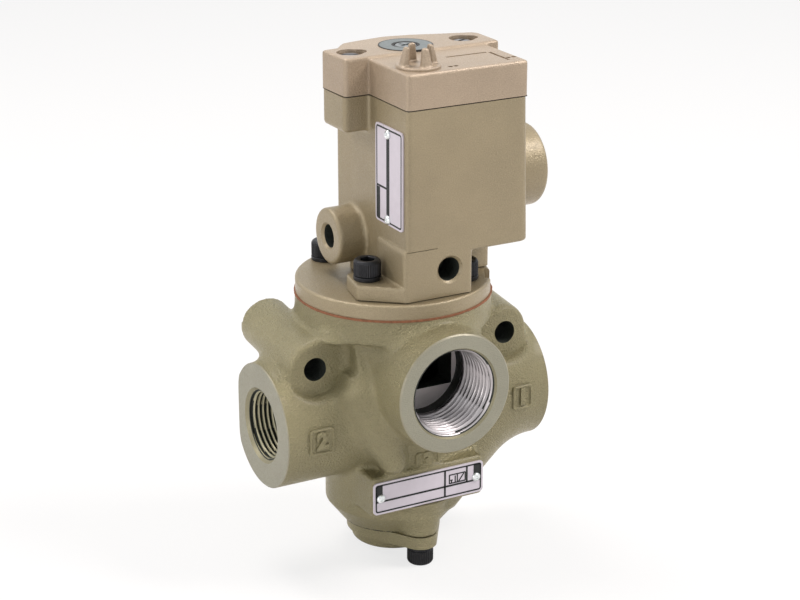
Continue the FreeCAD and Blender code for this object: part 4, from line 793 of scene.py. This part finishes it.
def housing_cutters():
    """Flat top and foot, the coil's chamber, the ports with their airways, and the screw holes."""
    far, airway, neck = 90.0, 1.6, 7.5
    room = shrunk(housing_plan(BOX_RIGHT), 3.0)
    wall = room[1][0]
    upper = room[:2] + [(wall, 0.8), (26.8, 0.8), (26.8, 11.2), (wall, 11.2)] + room[2:]
    mouth = [(-1.0, PILOT_HOLE + 1.9), (0.9, PILOT_HOLE), (12.0, PILOT_HOLE), (12.0, airway)]
    hub = [(-1.0, 12.6), (1.2, CONDUIT_HOLE), (15.0, CONDUIT_HOLE), (15.0, neck), (22.5, neck)]
    seat_low, seat_high = drawn_box("pilot_seat")
    side_origin, front_origin = (SIDE_MOUTH, *side_pilot[1:]), (front_pilot[0], BOX_FRONT, front_pilot[2])
    cutters = [
        slab((-far, -far, BOX_TOP), (far, far, far * 2)), slab((-far, -far, -far), (far, far, HOUSING_FOOT)),
        prism(room, BOX_FOOT + 5, BOX_TOP - 13), prism(upper, BOX_TOP - 13.1, BOX_TOP + 2),
        bore(side_origin, (1, 0, 0), mouth + [(OVERRIDE[0] - SIDE_MOUTH, airway)], 64),
        bore(front_origin, (0, 1, 0), mouth + [(OVERRIDE[1] - BOX_FRONT, airway)], 64),
        bore((HUB_END, *conduit[1:]), (-1, 0, 0), hub),
        hole((*OVERRIDE, HOUSING_FOOT - 2), UP, airway, BOX_FOOT - HOUSING_FOOT + 8, 32),
        hole((*OVERRIDE, seat_low[2]), UP, (seat_high[0] - seat_low[0]) / 2, 20, 48),
        slab((BOX_LEFT - 0.5, BOX_FRONT - 1, BOX_FOOT + 3.0), (0.5, BOX_FRONT + 0.5, BOX_FOOT + 3.25)),
        hole((*COVER_SCREWS[0][:2], HOUSING_FOOT - 1), UP, 3.0, 7.5, 32),
    ]
    for x, y in LID_SCREWS:
        cutters.append(hole((x, y, BOX_TOP + 1), DOWN, 2.5, 12, 32))
    return cutters


def make_housing():
    step = 0.6
    points, faces = skin(housing_field, housing_low - (2, 2, 5), housing_high + (2, 2, 8), step)
    housing = make("coil_housing", points, faces, HOUSING, slot="housing_paint")
    cut(housing, housing_cutters())
    dress(housing, [HOUSING, BORE_PAINTED_SHADE], sharp=28.0)
    x, y, z, *normals = face_places(housing.data)
    # Painted shade: the pilot ports' bores past their mouths are painted near black
    shaded = np.zeros(len(x), dtype=bool)
    for way, depth in ((np.hypot(y - side_pilot[1], z - side_pilot[2]), x - SIDE_MOUTH),
                       (np.hypot(x - front_pilot[0], z - front_pilot[2]), y - BOX_FRONT)):
        shaded |= (way < PILOT_HOLE + 0.1) & (depth > 1.5) & (depth < 13)
    housing.data.polygons.foreach_set("material_index", shaded.astype(np.int32))
    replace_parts(housing, "pilot_housing")


def lid_field(x, y, z):
    """The lid before boring: a raised back pad with the two lugs, and the lower front pad."""
    back = rounded_meet(plan_field(x, y, LID_BACK_PLAN, 1.4), between(z, LID_FOOT - 3, LID_HIGH), 0.9)
    front = rounded_meet(plan_field(x, y, LID_FRONT_PLAN, 1.6), between(z, LID_FOOT - 3, LID_TOP), 1.0)
    return blended(back, front, 0.7)


def crown_field(x, y, z):
    """A round foot and four fingers that lean inwards and grow thinner towards their tips."""
    px, py, height = x - CROWN[0], y - CROWN[1], z - LID_TOP
    away = np.hypot(px, py)
    foot = rounded_meet(away - 7.9, between(height, -0.6, 1.0), 0.4)
    part = np.clip((height - 1.0) / 6.6, 0.0, 1.0)
    across = np.minimum(np.abs(px), np.abs(py))
    finger = rounded_meet(np.abs(away - 5.9 + 1.2 * part) - 1.2 + 0.4 * part, across - 2.05 + 1.0 * part, 0.5)
    finger = rounded_meet(finger, between(height, -0.4, 7.6), 0.7)
    return blended(foot, finger, 0.8)


def lid_cutters():
    """Flat foot, screw seats, the override's seat, the groove and the pairs of dimples."""
    far = 90
    over = LID_HIGH + 1
    cutters = [slab((-far, -far, -far), (far, far, LID_FOOT))]
    for x, y in LID_SCREWS:
        cutters.append(bore((x, y, over), DOWN, [(0, 4.9), (5.5, 4.9), (5.5, 2.8), (15, 2.8)], 64))
        cutters.append(hole((x + 3.4, y, over), DOWN, 3.0, 2.8, 48))
    cutters.append(bore((*OVERRIDE, over), DOWN, [(0, 10.02), (6, 10.02), (6, 5.65), (16, 5.65)]))
    groove = LID_TOP - 0.7
    cutters.append(slab((13.6, -15.1, groove), (30.1, -14.0, LID_TOP + 1)))
    cutters.append(slab((30.6, -28.2, groove), (31.7, -14.9, LID_TOP + 1)))
    for x, y in ((9.0, -27.6), (33.9, -25.2)):
        for side in (-1.1, 1.1):
            cutters.append(hole((x + side, y, LID_TOP + 1), DOWN, 0.9, 1.7, 24))
    return cutters


def make_lid():
    step = 0.5
    low, high = drawn_box("pilot_lid")
    points, faces = skin(lid_field, low - (2, 2, 5), np.array([high[0], high[1], LID_HIGH]) + 2.0, step)
    lid = make("lid_casting", points, faces, HOUSING_PAINT_PAINTED_LIGHT, slot="housing_paint")
    cut(lid, lid_cutters())
    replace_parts(dress(lid, HOUSING_PAINT_PAINTED_LIGHT, sharp=28.0), "pilot_lid")
    place = np.array([*CROWN, LID_TOP])
    points, faces = skin(crown_field, place - (8.8, 8.8, 1.4), place + (8.8, 8.8, 8.6), 0.3)
    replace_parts(make("lid_crown", points, faces, HOUSING_PAINT_PAINTED_LIGHT, slot="housing_paint", sharp=50.0), "pilot_lid")


def make_lid_seal():
    """The thin black seal between the housing and the lid, just inside their outline."""
    right, left = [(LID_RIGHT, -3.5)], [(-21.3, -4.4), (BOX_LEFT, -4.4)]
    outline = shrunk(LID_FRONT_PLAN[:2] + right + LID_BACK_PLAN[1:] + left, 0.35)
    seal = make("lid_seal", *prism(outline, BOX_TOP, LID_FOOT), GASKET_BLACK, slot="gasket_black")
    cut(seal, [prism(shrunk(housing_plan(BOX_RIGHT), 2.6), BOX_TOP - 1, LID_FOOT + 1)])
    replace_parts(dress(seal, GASKET_BLACK), "lid_gasket")


def make_lid_screws():
    """Slotted screws with low domed heads, sunk in the lid."""
    seat = LID_HIGH - 4.5
    rings = [(-23.0, 2.45), (0.0, 2.47), (0.0, 4.3), (2.5, 4.4), (3.1, 4.1), (3.6, 3.0), (3.8, 1.5)]
    for n, ((x, y), lean) in enumerate(zip(LID_SCREWS, (-0.55, 0.5)), start=1):
        screw = spun("lid_screw_%d" % n, (x, y, seat), UP, rings, SPRING, 48, slot="bright_steel")
        cut(screw, [line((x - 5, y - 5 * lean), (x + 5, y + 5 * lean), 1.2, seat + 2.4, seat + 6)])
        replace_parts(dress(screw, SPRING), "lid_screws")


def make_override():
    """The override's knob, with a cross slot, on its pin."""
    low, high = drawn_box("override_button")
    foot, top = low[2], high[2]
    flange, collar = top - 6.0, top - 5.35
    rings = [(foot, 1.9), (flange, 1.9), (flange, 5.15), (collar, 5.15), (collar, 4.1), (top - 0.4, 4.1),
             (top, 3.7)]
    knob = spun("override_knob", (*OVERRIDE, 0.0), UP, rings, KNOB, 64, body="override", slot="bright_steel")
    x, y = OVERRIDE
    cut(knob, [line((x - u, y - v), (x + u, y + v), 1.1, top - 1.0, top + 1)
               for u, v in ((2.6, 1.4), (-1.4, 2.6))])
    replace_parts(dress(knob, KNOB, "override"), "override_button")


def thread_sleeve(name, origin, direction, minor, major, pitch, start, length, finish, slot="cast_paint",
                  shaded=0.55):
    """A thin sleeve whose inner wall carries a screw thread, from start inwards. Its roots are painted near
    black as shade.
    """
    segments, per_turn = 120, 8
    rows = int(length / pitch * per_turn) + 1
    around = np.arange(segments) / segments
    loops = []
    for row in range(rows):
        phase = (row / per_turn + around) % 1.0
        crest = np.clip(np.abs(phase * 2 - 1) * 1.5 - 0.25, 0.0, 1.0)
        fade = min(1.0, row / per_turn)
        radius = major - (major - minor) * crest * (0.35 + 0.65 * fade)
        loops.append(ring(radius, start + row * pitch / per_turn, segments))
    for depth in (start + length, start):
        loops.append(ring(major - 0.01, depth, segments))
    points, faces = stack(loops, closed=True)
    piece = make(name, aim(points, origin, direction), faces, [finish, BORE_PAINTED_SHADE], slot=slot, sharp=60.0)
    # Faces deep in the thread's roots get the near black of painted shade
    reach = np.array([np.hypot(points[list(face), 0], points[list(face), 1]).mean() for face in faces])
    root = (reach > major - shaded * (major - minor)).astype(np.int32)
    piece.data.polygons.foreach_set("material_index", root)


def make_threads():
    for side, name in ((-1, "port_2_thread"), (1, "port_1_thread")):
        thread_sleeve(name, (side * PORT_REACH, 0, 0), (-side, 0, 0), 12.06, SIDE_THREAD, PIPE_PITCH,
                      SIDE_MOUTH_DEPTH, 15.6, THREAD, shaded=0.42)
    thread_sleeve("port_3_thread", (0, -FRONT_REACH, FRONT_LEVEL), (0, 1, 0), 15.15, FRONT_THREAD,
                  FRONT_PITCH, FRONT_MOUTH_DEPTH, 21.0, BARE_FRONT, shaded=0.25)
    thread_sleeve("conduit_thread", (HUB_MOUTH, *conduit[1:]), (-1, 0, 0), 9.32, CONDUIT_HOLE,
                  PIPE_PITCH, 1.2, 13.2, HOUSING, "housing_paint")


def spun(name, origin, direction, rings, finish, segments=96, body="valve", slot=None, sharp=32.0):
    """A turned piece, as (height, radius) rings along its direction."""
    points, faces = bore(origin, direction, rings, segments)
    return make(name, points, faces, finish, body, slot, sharp)


def hex_radius(across):
    """The radius of a hexagon at an angle, from its size across flats."""
    def radius(angle):
        return across / 2 / math.cos((angle % (math.pi / 3)) - math.pi / 6)
    return radius


def knurled(radius, depth, teeth=36):
    """The radius of a knurled edge at an angle."""
    def at(angle):
        return radius - depth * (0.5 + 0.5 * math.cos(angle * teeth))
    return at


WASHER = 1.6
# The cover screws' seats. The first stands on the housing's foot lug
COVER_SCREWS = [(-18.8, -15.6, DISC_TOP + 5.7), (-14.9, 26.8, DISC_TOP), (20.5, -17.4, DISC_TOP),
                (22, 23.5, DISC_TOP)]


def socket_screw(name, seat, direction, shank):
    """A socket head screw with a knurled head, on the washer that lies on the seat."""
    rings = [(-shank, 2.5), (0.0, 2.98), (0.0, 4.55), (0.35, knurled(4.95, 0.1)), (0.8, knurled(4.98, 0.26)),
             (4.7, knurled(4.98, 0.26)), (5.15, knurled(4.9, 0.12)), (5.6, 4.62), (5.9, 4.25), (6.0, 3.9),
             (6.0, 3.1), (5.7, hex_radius(5.0)), (3.0, hex_radius(5.0)), (2.4, 0.05)]
    origin = np.asarray(seat, dtype=float) + np.asarray(direction) * WASHER
    return spun(name, origin, direction, rings, BLACK_STEEL, 144, slot="black_steel", sharp=40.0)


def split_washer(name, seat, direction, turn):
    """A spring washer: a ring of nearly square section, cut through on a slant."""
    outer, inner, round_off, gap = 5.08, 3.3, 0.18, math.radians(7)
    low, high = 0.03, WASHER - 0.03
    section = [(inner, low), (outer - round_off, low), (outer, low + round_off), (outer, high - round_off),
               (outer - round_off, high), (inner, high)]
    steps, loops = 72, []
    for n in range(steps + 1):
        loop = []
        for radius, level in section:
            slant = (level / WASHER - 0.5) * math.radians(9)
            angle = turn + slant + gap / 2 + (2 * math.pi - gap) * n / steps
            loop.append((radius * math.cos(angle), radius * math.sin(angle), level))
        loops.append(loop)
    points, faces = stack(loops)
    return make(name, aim(points, seat, direction), faces, BLACK_STEEL, slot="black_steel")


def make_fasteners():
    """The visible screws and washers stand where the CAD ones do."""
    cap_foot = drawn_box("bottom_cap_washers")[1][2]
    for n, (x, y, z) in enumerate(COVER_SCREWS, start=1):
        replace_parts(socket_screw("cover_screw_%d" % n, (x, y, z), (0, 0, 1), z - 33.0), "cover_screws")
        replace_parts(split_washer("cover_washer_%d" % n, (x, y, z), (0, 0, 1), 2.1 * n + 1.2), "cover_washers")
    for n, side in enumerate((-1, 1), start=1):
        seat = (0, side * EAR_PLACE, cap_foot)
        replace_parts(socket_screw("bottom_screw_%d" % n, seat, (0, 0, -1), 12.0), "bottom_cap_screws")
        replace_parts(split_washer("bottom_washer_%d" % n, seat, (0, 0, -1), 1.7 * n), "bottom_cap_washers")


def make_gasket():
    """The fibre gasket, whose cut edge is slightly ragged."""
    low, high = drawn_box("body_gasket")
    random = np.random.default_rng(7)
    segments = 720
    angles = np.arange(segments) * 2 * math.pi / segments
    rough = random.normal(size=segments)
    smooth = sum(np.roll(rough, n) for n in range(-2, 3)) / 5
    slow = np.sin(angles * 7 + 1.0) * 0.5 + np.sin(angles * 13 + 2.0) * 0.5
    edge = high[0] - 0.12 + 0.12 * smooth + 0.08 * slow
    middle = (low[2] + high[2]) / 2
    profile = [(20.0, low[2]), (edge, low[2]), (edge + 0.1, middle), (edge, high[2]), (20.0, high[2])]
    points, faces = stack([ring(radius, level, segments) for radius, level in profile], closed=True)
    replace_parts(make("gasket_ring", points, faces, FIBRE, slot="gasket_fibre"), "body_gasket")


# Plates

def rounded_outline(low, high, radius, steps=5):
    """A rectangle's outline with rounded corners."""
    (left, foot), (right, top) = np.add(low, radius), np.subtract(high, radius)
    outline = []
    for x, y, start in ((right, top, 0), (left, top, 90), (left, foot, 180), (right, foot, 270)):
        for n in range(steps + 1):
            angle = math.radians(start + 90 * n / steps)
            outline.append((x + radius * math.cos(angle), y + radius * math.sin(angle)))
    return outline


def lifted(outline, height):
    return np.array([(u, v, height) for u, v in outline])


def prism(outline, low, high):
    return stack([lifted(outline, low), lifted(outline, high)])


def frame_ring(outer, inner, low, high):
    loops = [lifted(outer, low), lifted(outer, high), lifted(inner, high), lifted(inner, low)]
    return stack(loops, closed=True)


def line(start, end, width, low, high):
    """A straight bar of rectangular section between two points in plan."""
    (ax, ay), (bx, by) = start, end
    length = math.hypot(bx - ax, by - ay)
    nx, ny = -(by - ay) / length * width / 2, (bx - ax) / length * width / 2
    return prism([(ax - nx, ay - ny), (bx - nx, by - ny), (bx + nx, by + ny), (ax + nx, ay + ny)], low, high)


INK_FOOT, INK_PROUD = -0.02, 0.05


def print_on(name, shapes, place):
    """Thin raised print. Place turns plate coordinates (across, up, out) into drawn ones."""
    points, faces = merge(shapes)
    make(name, np.array([place(*point) for point in points]), faces, INK, slot="plate_face")


def printed_line(start, end, width):
    return line(start, end, width, INK_FOOT, INK_PROUD)


def printed_box(low, high):
    return prism([low, (high[0], low[1]), high, (low[0], high[1])], INK_FOOT, INK_PROUD)


def bordered(low, high, inset=0.75, width=0.6, radius=1.1):
    """A printed border along a plate's edge."""
    step = inset + width
    outer = rounded_outline(np.add(low, inset), np.subtract(high, inset), radius)
    inner = rounded_outline(np.add(low, step), np.subtract(high, step), radius - width)
    return frame_ring(outer, inner, INK_FOOT, INK_PROUD)


def rivet(name, origin, direction):
    rings = [(-0.3, 1.5), (0.0, 1.75), (0.35, 1.7), (0.75, 1.35), (0.9, 0.95), (0.9, 0.62), (0.55, 0.42),
             (0.5, 0.04)]
    return spun(name, origin, direction, rings, RIVET, 40, slot="rivet_metal", sharp=50.0)


def valve_symbol(start, base):
    """A two-position valve symbol: two squares with a flow arrow and closed ports."""
    cell, width = 3.4, 0.52
    strokes = [((n * cell, 0), (n * cell, cell)) for n in (0, 1, 2)]
    strokes += [((-0.13, level), (2 * cell + 0.13, level)) for level in (0, cell)]
    strokes += [((0.9, 0), (0.9, 1.2)), ((0.4, 1.2), (1.4, 1.2)), ((2.5, 0), (2.5, cell - 0.6)),
                ((cell + 0.6, 0.2), (2 * cell - 0.6, cell - 0.3))]
    return [printed_line((start + a, base + b), (start + c, base + d), width) for (a, b), (c, d) in strokes]


def make_nameplate():
    low, high = drawn_box("nameplate")
    face = low[1]
    middle = (low[2] + high[2]) / 2
    rule = middle - 1.2
    left, right = low[0] + 1.0, high[0] - 1.0
    roof, floor = high[2] - 1.0, low[2] + 1.0
    divider = 6.8
    shapes = [
        bordered((low[0], low[2]), (high[0], high[2])),
        printed_box((left, roof - 5.6), (left + 2.7, roof)),
        printed_box((right - 3.1, roof - 5.6), (right, roof)),
        printed_line((left, rule), (right, rule), 0.75),
        printed_line((divider, floor), (divider, roof), 0.8),
        printed_line((right - 6.0, rule), (right - 6.0, roof), 0.75),
    ]
    shapes += valve_symbol(divider + 1.9, rule + 0.9)
    print_on("nameplate_print", shapes, lambda u, v, w: (u, face - w, v))
    for n, side in enumerate((-1, 1), start=1):
        piece = rivet("name_rivet_%d" % n, (side * 20.2, face, middle), (0, -1, 0))
        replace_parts(piece, "nameplate_rivets")


def make_label():
    low, high = drawn_box("coil_label")
    face = low[0]
    bar = -19.2
    rear, floor = high[1] - 1.2, low[2] + 1.2
    shapes = [
        bordered((low[1], low[2]), (high[1], high[2])),
        printed_box((bar - 1.1, floor + 2.4), (bar + 1.1, high[2] - 4.4)),
        printed_box((rear - 2.2, floor), (rear, floor + 11.5)),
        printed_line((bar + 1.1, floor + 12.0), (rear, floor + 12.0), 0.75),
    ]
    print_on("label_print", shapes, lambda u, v, w: (face - w, u, v))
    for n, level in enumerate((77.9, 109.2), start=1):
        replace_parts(rivet("label_rivet_%d" % n, (face, bar, level), (-1, 0, 0)), "coil_label_rivets")


# Raised numbers beside the ports

def make_mark(text, across, level, reach, width, height):
    """A raised pad with a rim, and its number inside the rim."""
    centre, half = np.array([across, level]), np.array([width, height]) / 2
    loops = []
    for inset, depth in ((0.0, reach - 6.0), (0.0, reach - MARK_RELIEF), (0.3, reach), (0.75, reach),
                         (1.15, reach - 0.5)):
        outline = rounded_outline(centre - half + inset, centre + half - inset, 1.5 - inset / 2)
        loops.append(np.array([(u, -depth, v) for u, v in outline]))
    make("port_mark_" + text, *stack(loops), CAST, slot="cast_paint", sharp=25.0)
    make_digit(text, (across, -reach + 0.3, level))


def make_digit(text, place):
    curve = bpy.data.curves.new("digit_" + text, "FONT")
    curve.body = text
    curve.size = 8.6 * MM
    curve.align_x, curve.align_y = "CENTER", "CENTER"
    curve.extrude = 0.3 * MM
    curve.offset = 0.42 * MM
    curve.bevel_depth = 0.2 * MM
    curve.bevel_resolution = 2
    holder = bpy.data.objects.new("digit", curve)
    bpy.context.scene.collection.objects.link(holder)
    holder.rotation_euler = (math.pi / 2, 0, 0)
    holder.location = np.asarray(place, dtype=float) * MM + STEM
    mesh = baked(holder)
    mesh.transform(holder.matrix_world)
    bpy.data.objects.remove(holder)
    edited(mesh, lambda form: bmesh.ops.remove_doubles(form, verts=form.verts, dist=0.002 * MM))
    dress(bpy.data.objects.new("port_number_" + text, mesh), CAST, sharp=50.0)


make_body()
make_housing()
make_lid()
make_lid_seal()
make_lid_screws()
make_override()
make_threads()
make_fasteners()
make_gasket()
make_nameplate()
make_label()
for text, place in MARKS.items():
    make_mark(text, *place)


# Camera, lights and stage

# The photograph's camera: its direction from the valve, its distance and the point it looks at, in
# millimetres, and its focal length in pixels of a picture as wide as the photograph
AZIMUTH = math.radians(-28.447)
ELEVATION = math.radians(19.919)
DISTANCE = 749.98
FOCUS_PIXELS = 2016.28
PHOTO_WIDTH = 800
AIM_RIGHT = 2.605
AIM_LEVEL = 39.49


def make_camera():
    data = bpy.data.cameras.new("camera")
    camera = bpy.data.objects.new("camera", data)
    bpy.context.scene.collection.objects.link(camera)
    data.sensor_width = 36.0
    data.lens = data.sensor_width * FOCUS_PIXELS / PHOTO_WIDTH
    back = Vector((math.sin(AZIMUTH) * math.cos(ELEVATION), -math.cos(AZIMUTH) * math.cos(ELEVATION),
                   math.sin(ELEVATION)))
    aim_at = np.array([math.cos(AZIMUTH) * AIM_RIGHT, math.sin(AZIMUTH) * AIM_RIGHT, AIM_LEVEL])
    camera.location = Vector((aim_at + np.array(back) * DISTANCE) * MM + STEM)
    camera.rotation_mode = "QUATERNION"
    camera.rotation_quaternion = (-back).to_track_quat("-Z", "Y")
    data.clip_start, data.clip_end = 0.01, 20.0
    bpy.context.scene.camera = camera


def make_light(name, place, size, power, colour):
    data = bpy.data.lights.new(name, "AREA")
    data.color = colour
    data.shape = "DISK"
    data.size = size
    data.energy = power
    lamp = bpy.data.objects.new(name, data)
    lamp.location = place
    lamp.rotation_mode = "QUATERNION"
    lamp.rotation_quaternion = (Vector(place) - Vector((0, 0, 0.02))).to_track_quat("Z", "Y")
    bpy.context.scene.collection.objects.link(lamp)


def mixed(nodes, links, share, first, second, output):
    """Mix two shaders by a share of the second, into an output node."""
    mix = nodes.new("ShaderNodeMixShader")
    links.new(share, mix.inputs["Fac"])
    links.new(first.outputs[0], mix.inputs[1])
    links.new(second.outputs[0], mix.inputs[2])
    links.new(mix.outputs[0], output.inputs["Surface"])


def white_for_camera(tree, output, shader, colour):
    """Show a plain white to the camera and in reflections, and the given shader to everything else."""
    nodes, links = tree.nodes, tree.links
    path = nodes.new("ShaderNodeLightPath")
    glow = nodes.new("ShaderNodeBackground")
    glow.inputs["Color"].default_value = colour
    glow.inputs["Strength"].default_value = 1.0
    seen = path.outputs["Is Camera Ray"]
    for kind in ("Is Glossy Ray", "Is Transmission Ray"):
        either = nodes.new("ShaderNodeMath")
        either.operation = "MAXIMUM"
        links.new(seen, either.inputs[0])
        links.new(path.outputs[kind], either.inputs[1])
        seen = either.outputs[0]
    mixed(nodes, links, seen, shader, glow, output)


def make_world():
    world = bpy.data.worlds.new("world")
    world.use_nodes = True
    bpy.context.scene.world = world
    white = (1.0, 1.0, 1.0, 1.0)
    sky = world.node_tree.nodes["Background"]
    sky.inputs["Color"].default_value = white
    sky.inputs["Strength"].default_value = 0.35
    white_for_camera(world.node_tree, world.node_tree.nodes["World Output"], sky, white)


def make_floor():
    """A wide pale floor that keeps the shadow, and shines a little towards the camera alone."""
    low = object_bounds()[0]
    mesh = bpy.data.meshes.new("floor")
    size = 3.0
    mesh.from_pydata([(-size, -size, low.z), (size, -size, low.z), (size, size, low.z), (-size, size, low.z)],
                     [], [(0, 1, 2, 3)])
    floor = bpy.data.objects.new("floor", mesh)
    bpy.context.scene.collection.objects.link(floor)
    finish, nodes, links = new_material("floor")
    shader = nodes["Principled BSDF"]
    shader.inputs["Base Color"].default_value = (0.92, 0.92, 0.92, 1.0)
    shader.inputs["Roughness"].default_value = 0.9
    glow = nodes.new("ShaderNodeEmission")
    path = nodes.new("ShaderNodeLightPath")
    share = nodes.new("ShaderNodeMath")
    share.operation = "MULTIPLY"
    share.inputs[1].default_value = 0.75
    links.new(path.outputs["Is Camera Ray"], share.inputs[0])
    mixed(nodes, links, share.outputs[0], shader, glow, nodes["Material Output"])
    mesh.materials.append(finish)


def make_stage():
    bpy.context.scene.view_settings.view_transform = "Standard"
    make_world()
    make_floor()
    make_light("key", (0.75, -0.55, 1.0), 0.5, 13.2, (1.0, 0.93, 0.90))
    make_light("left", (-1.05, -0.56, 0.16), 0.4, 2.6, (1.0, 0.95, 0.92))
    make_light("top", (-0.15, 0.33, 1.05), 0.5, 6.2, (1.0, 0.94, 0.91))
    make_light("behind", (-0.80, 0.38, 0.66), 0.25, 2.8, (1.0, 0.93, 0.90))


make_camera()
make_stage()
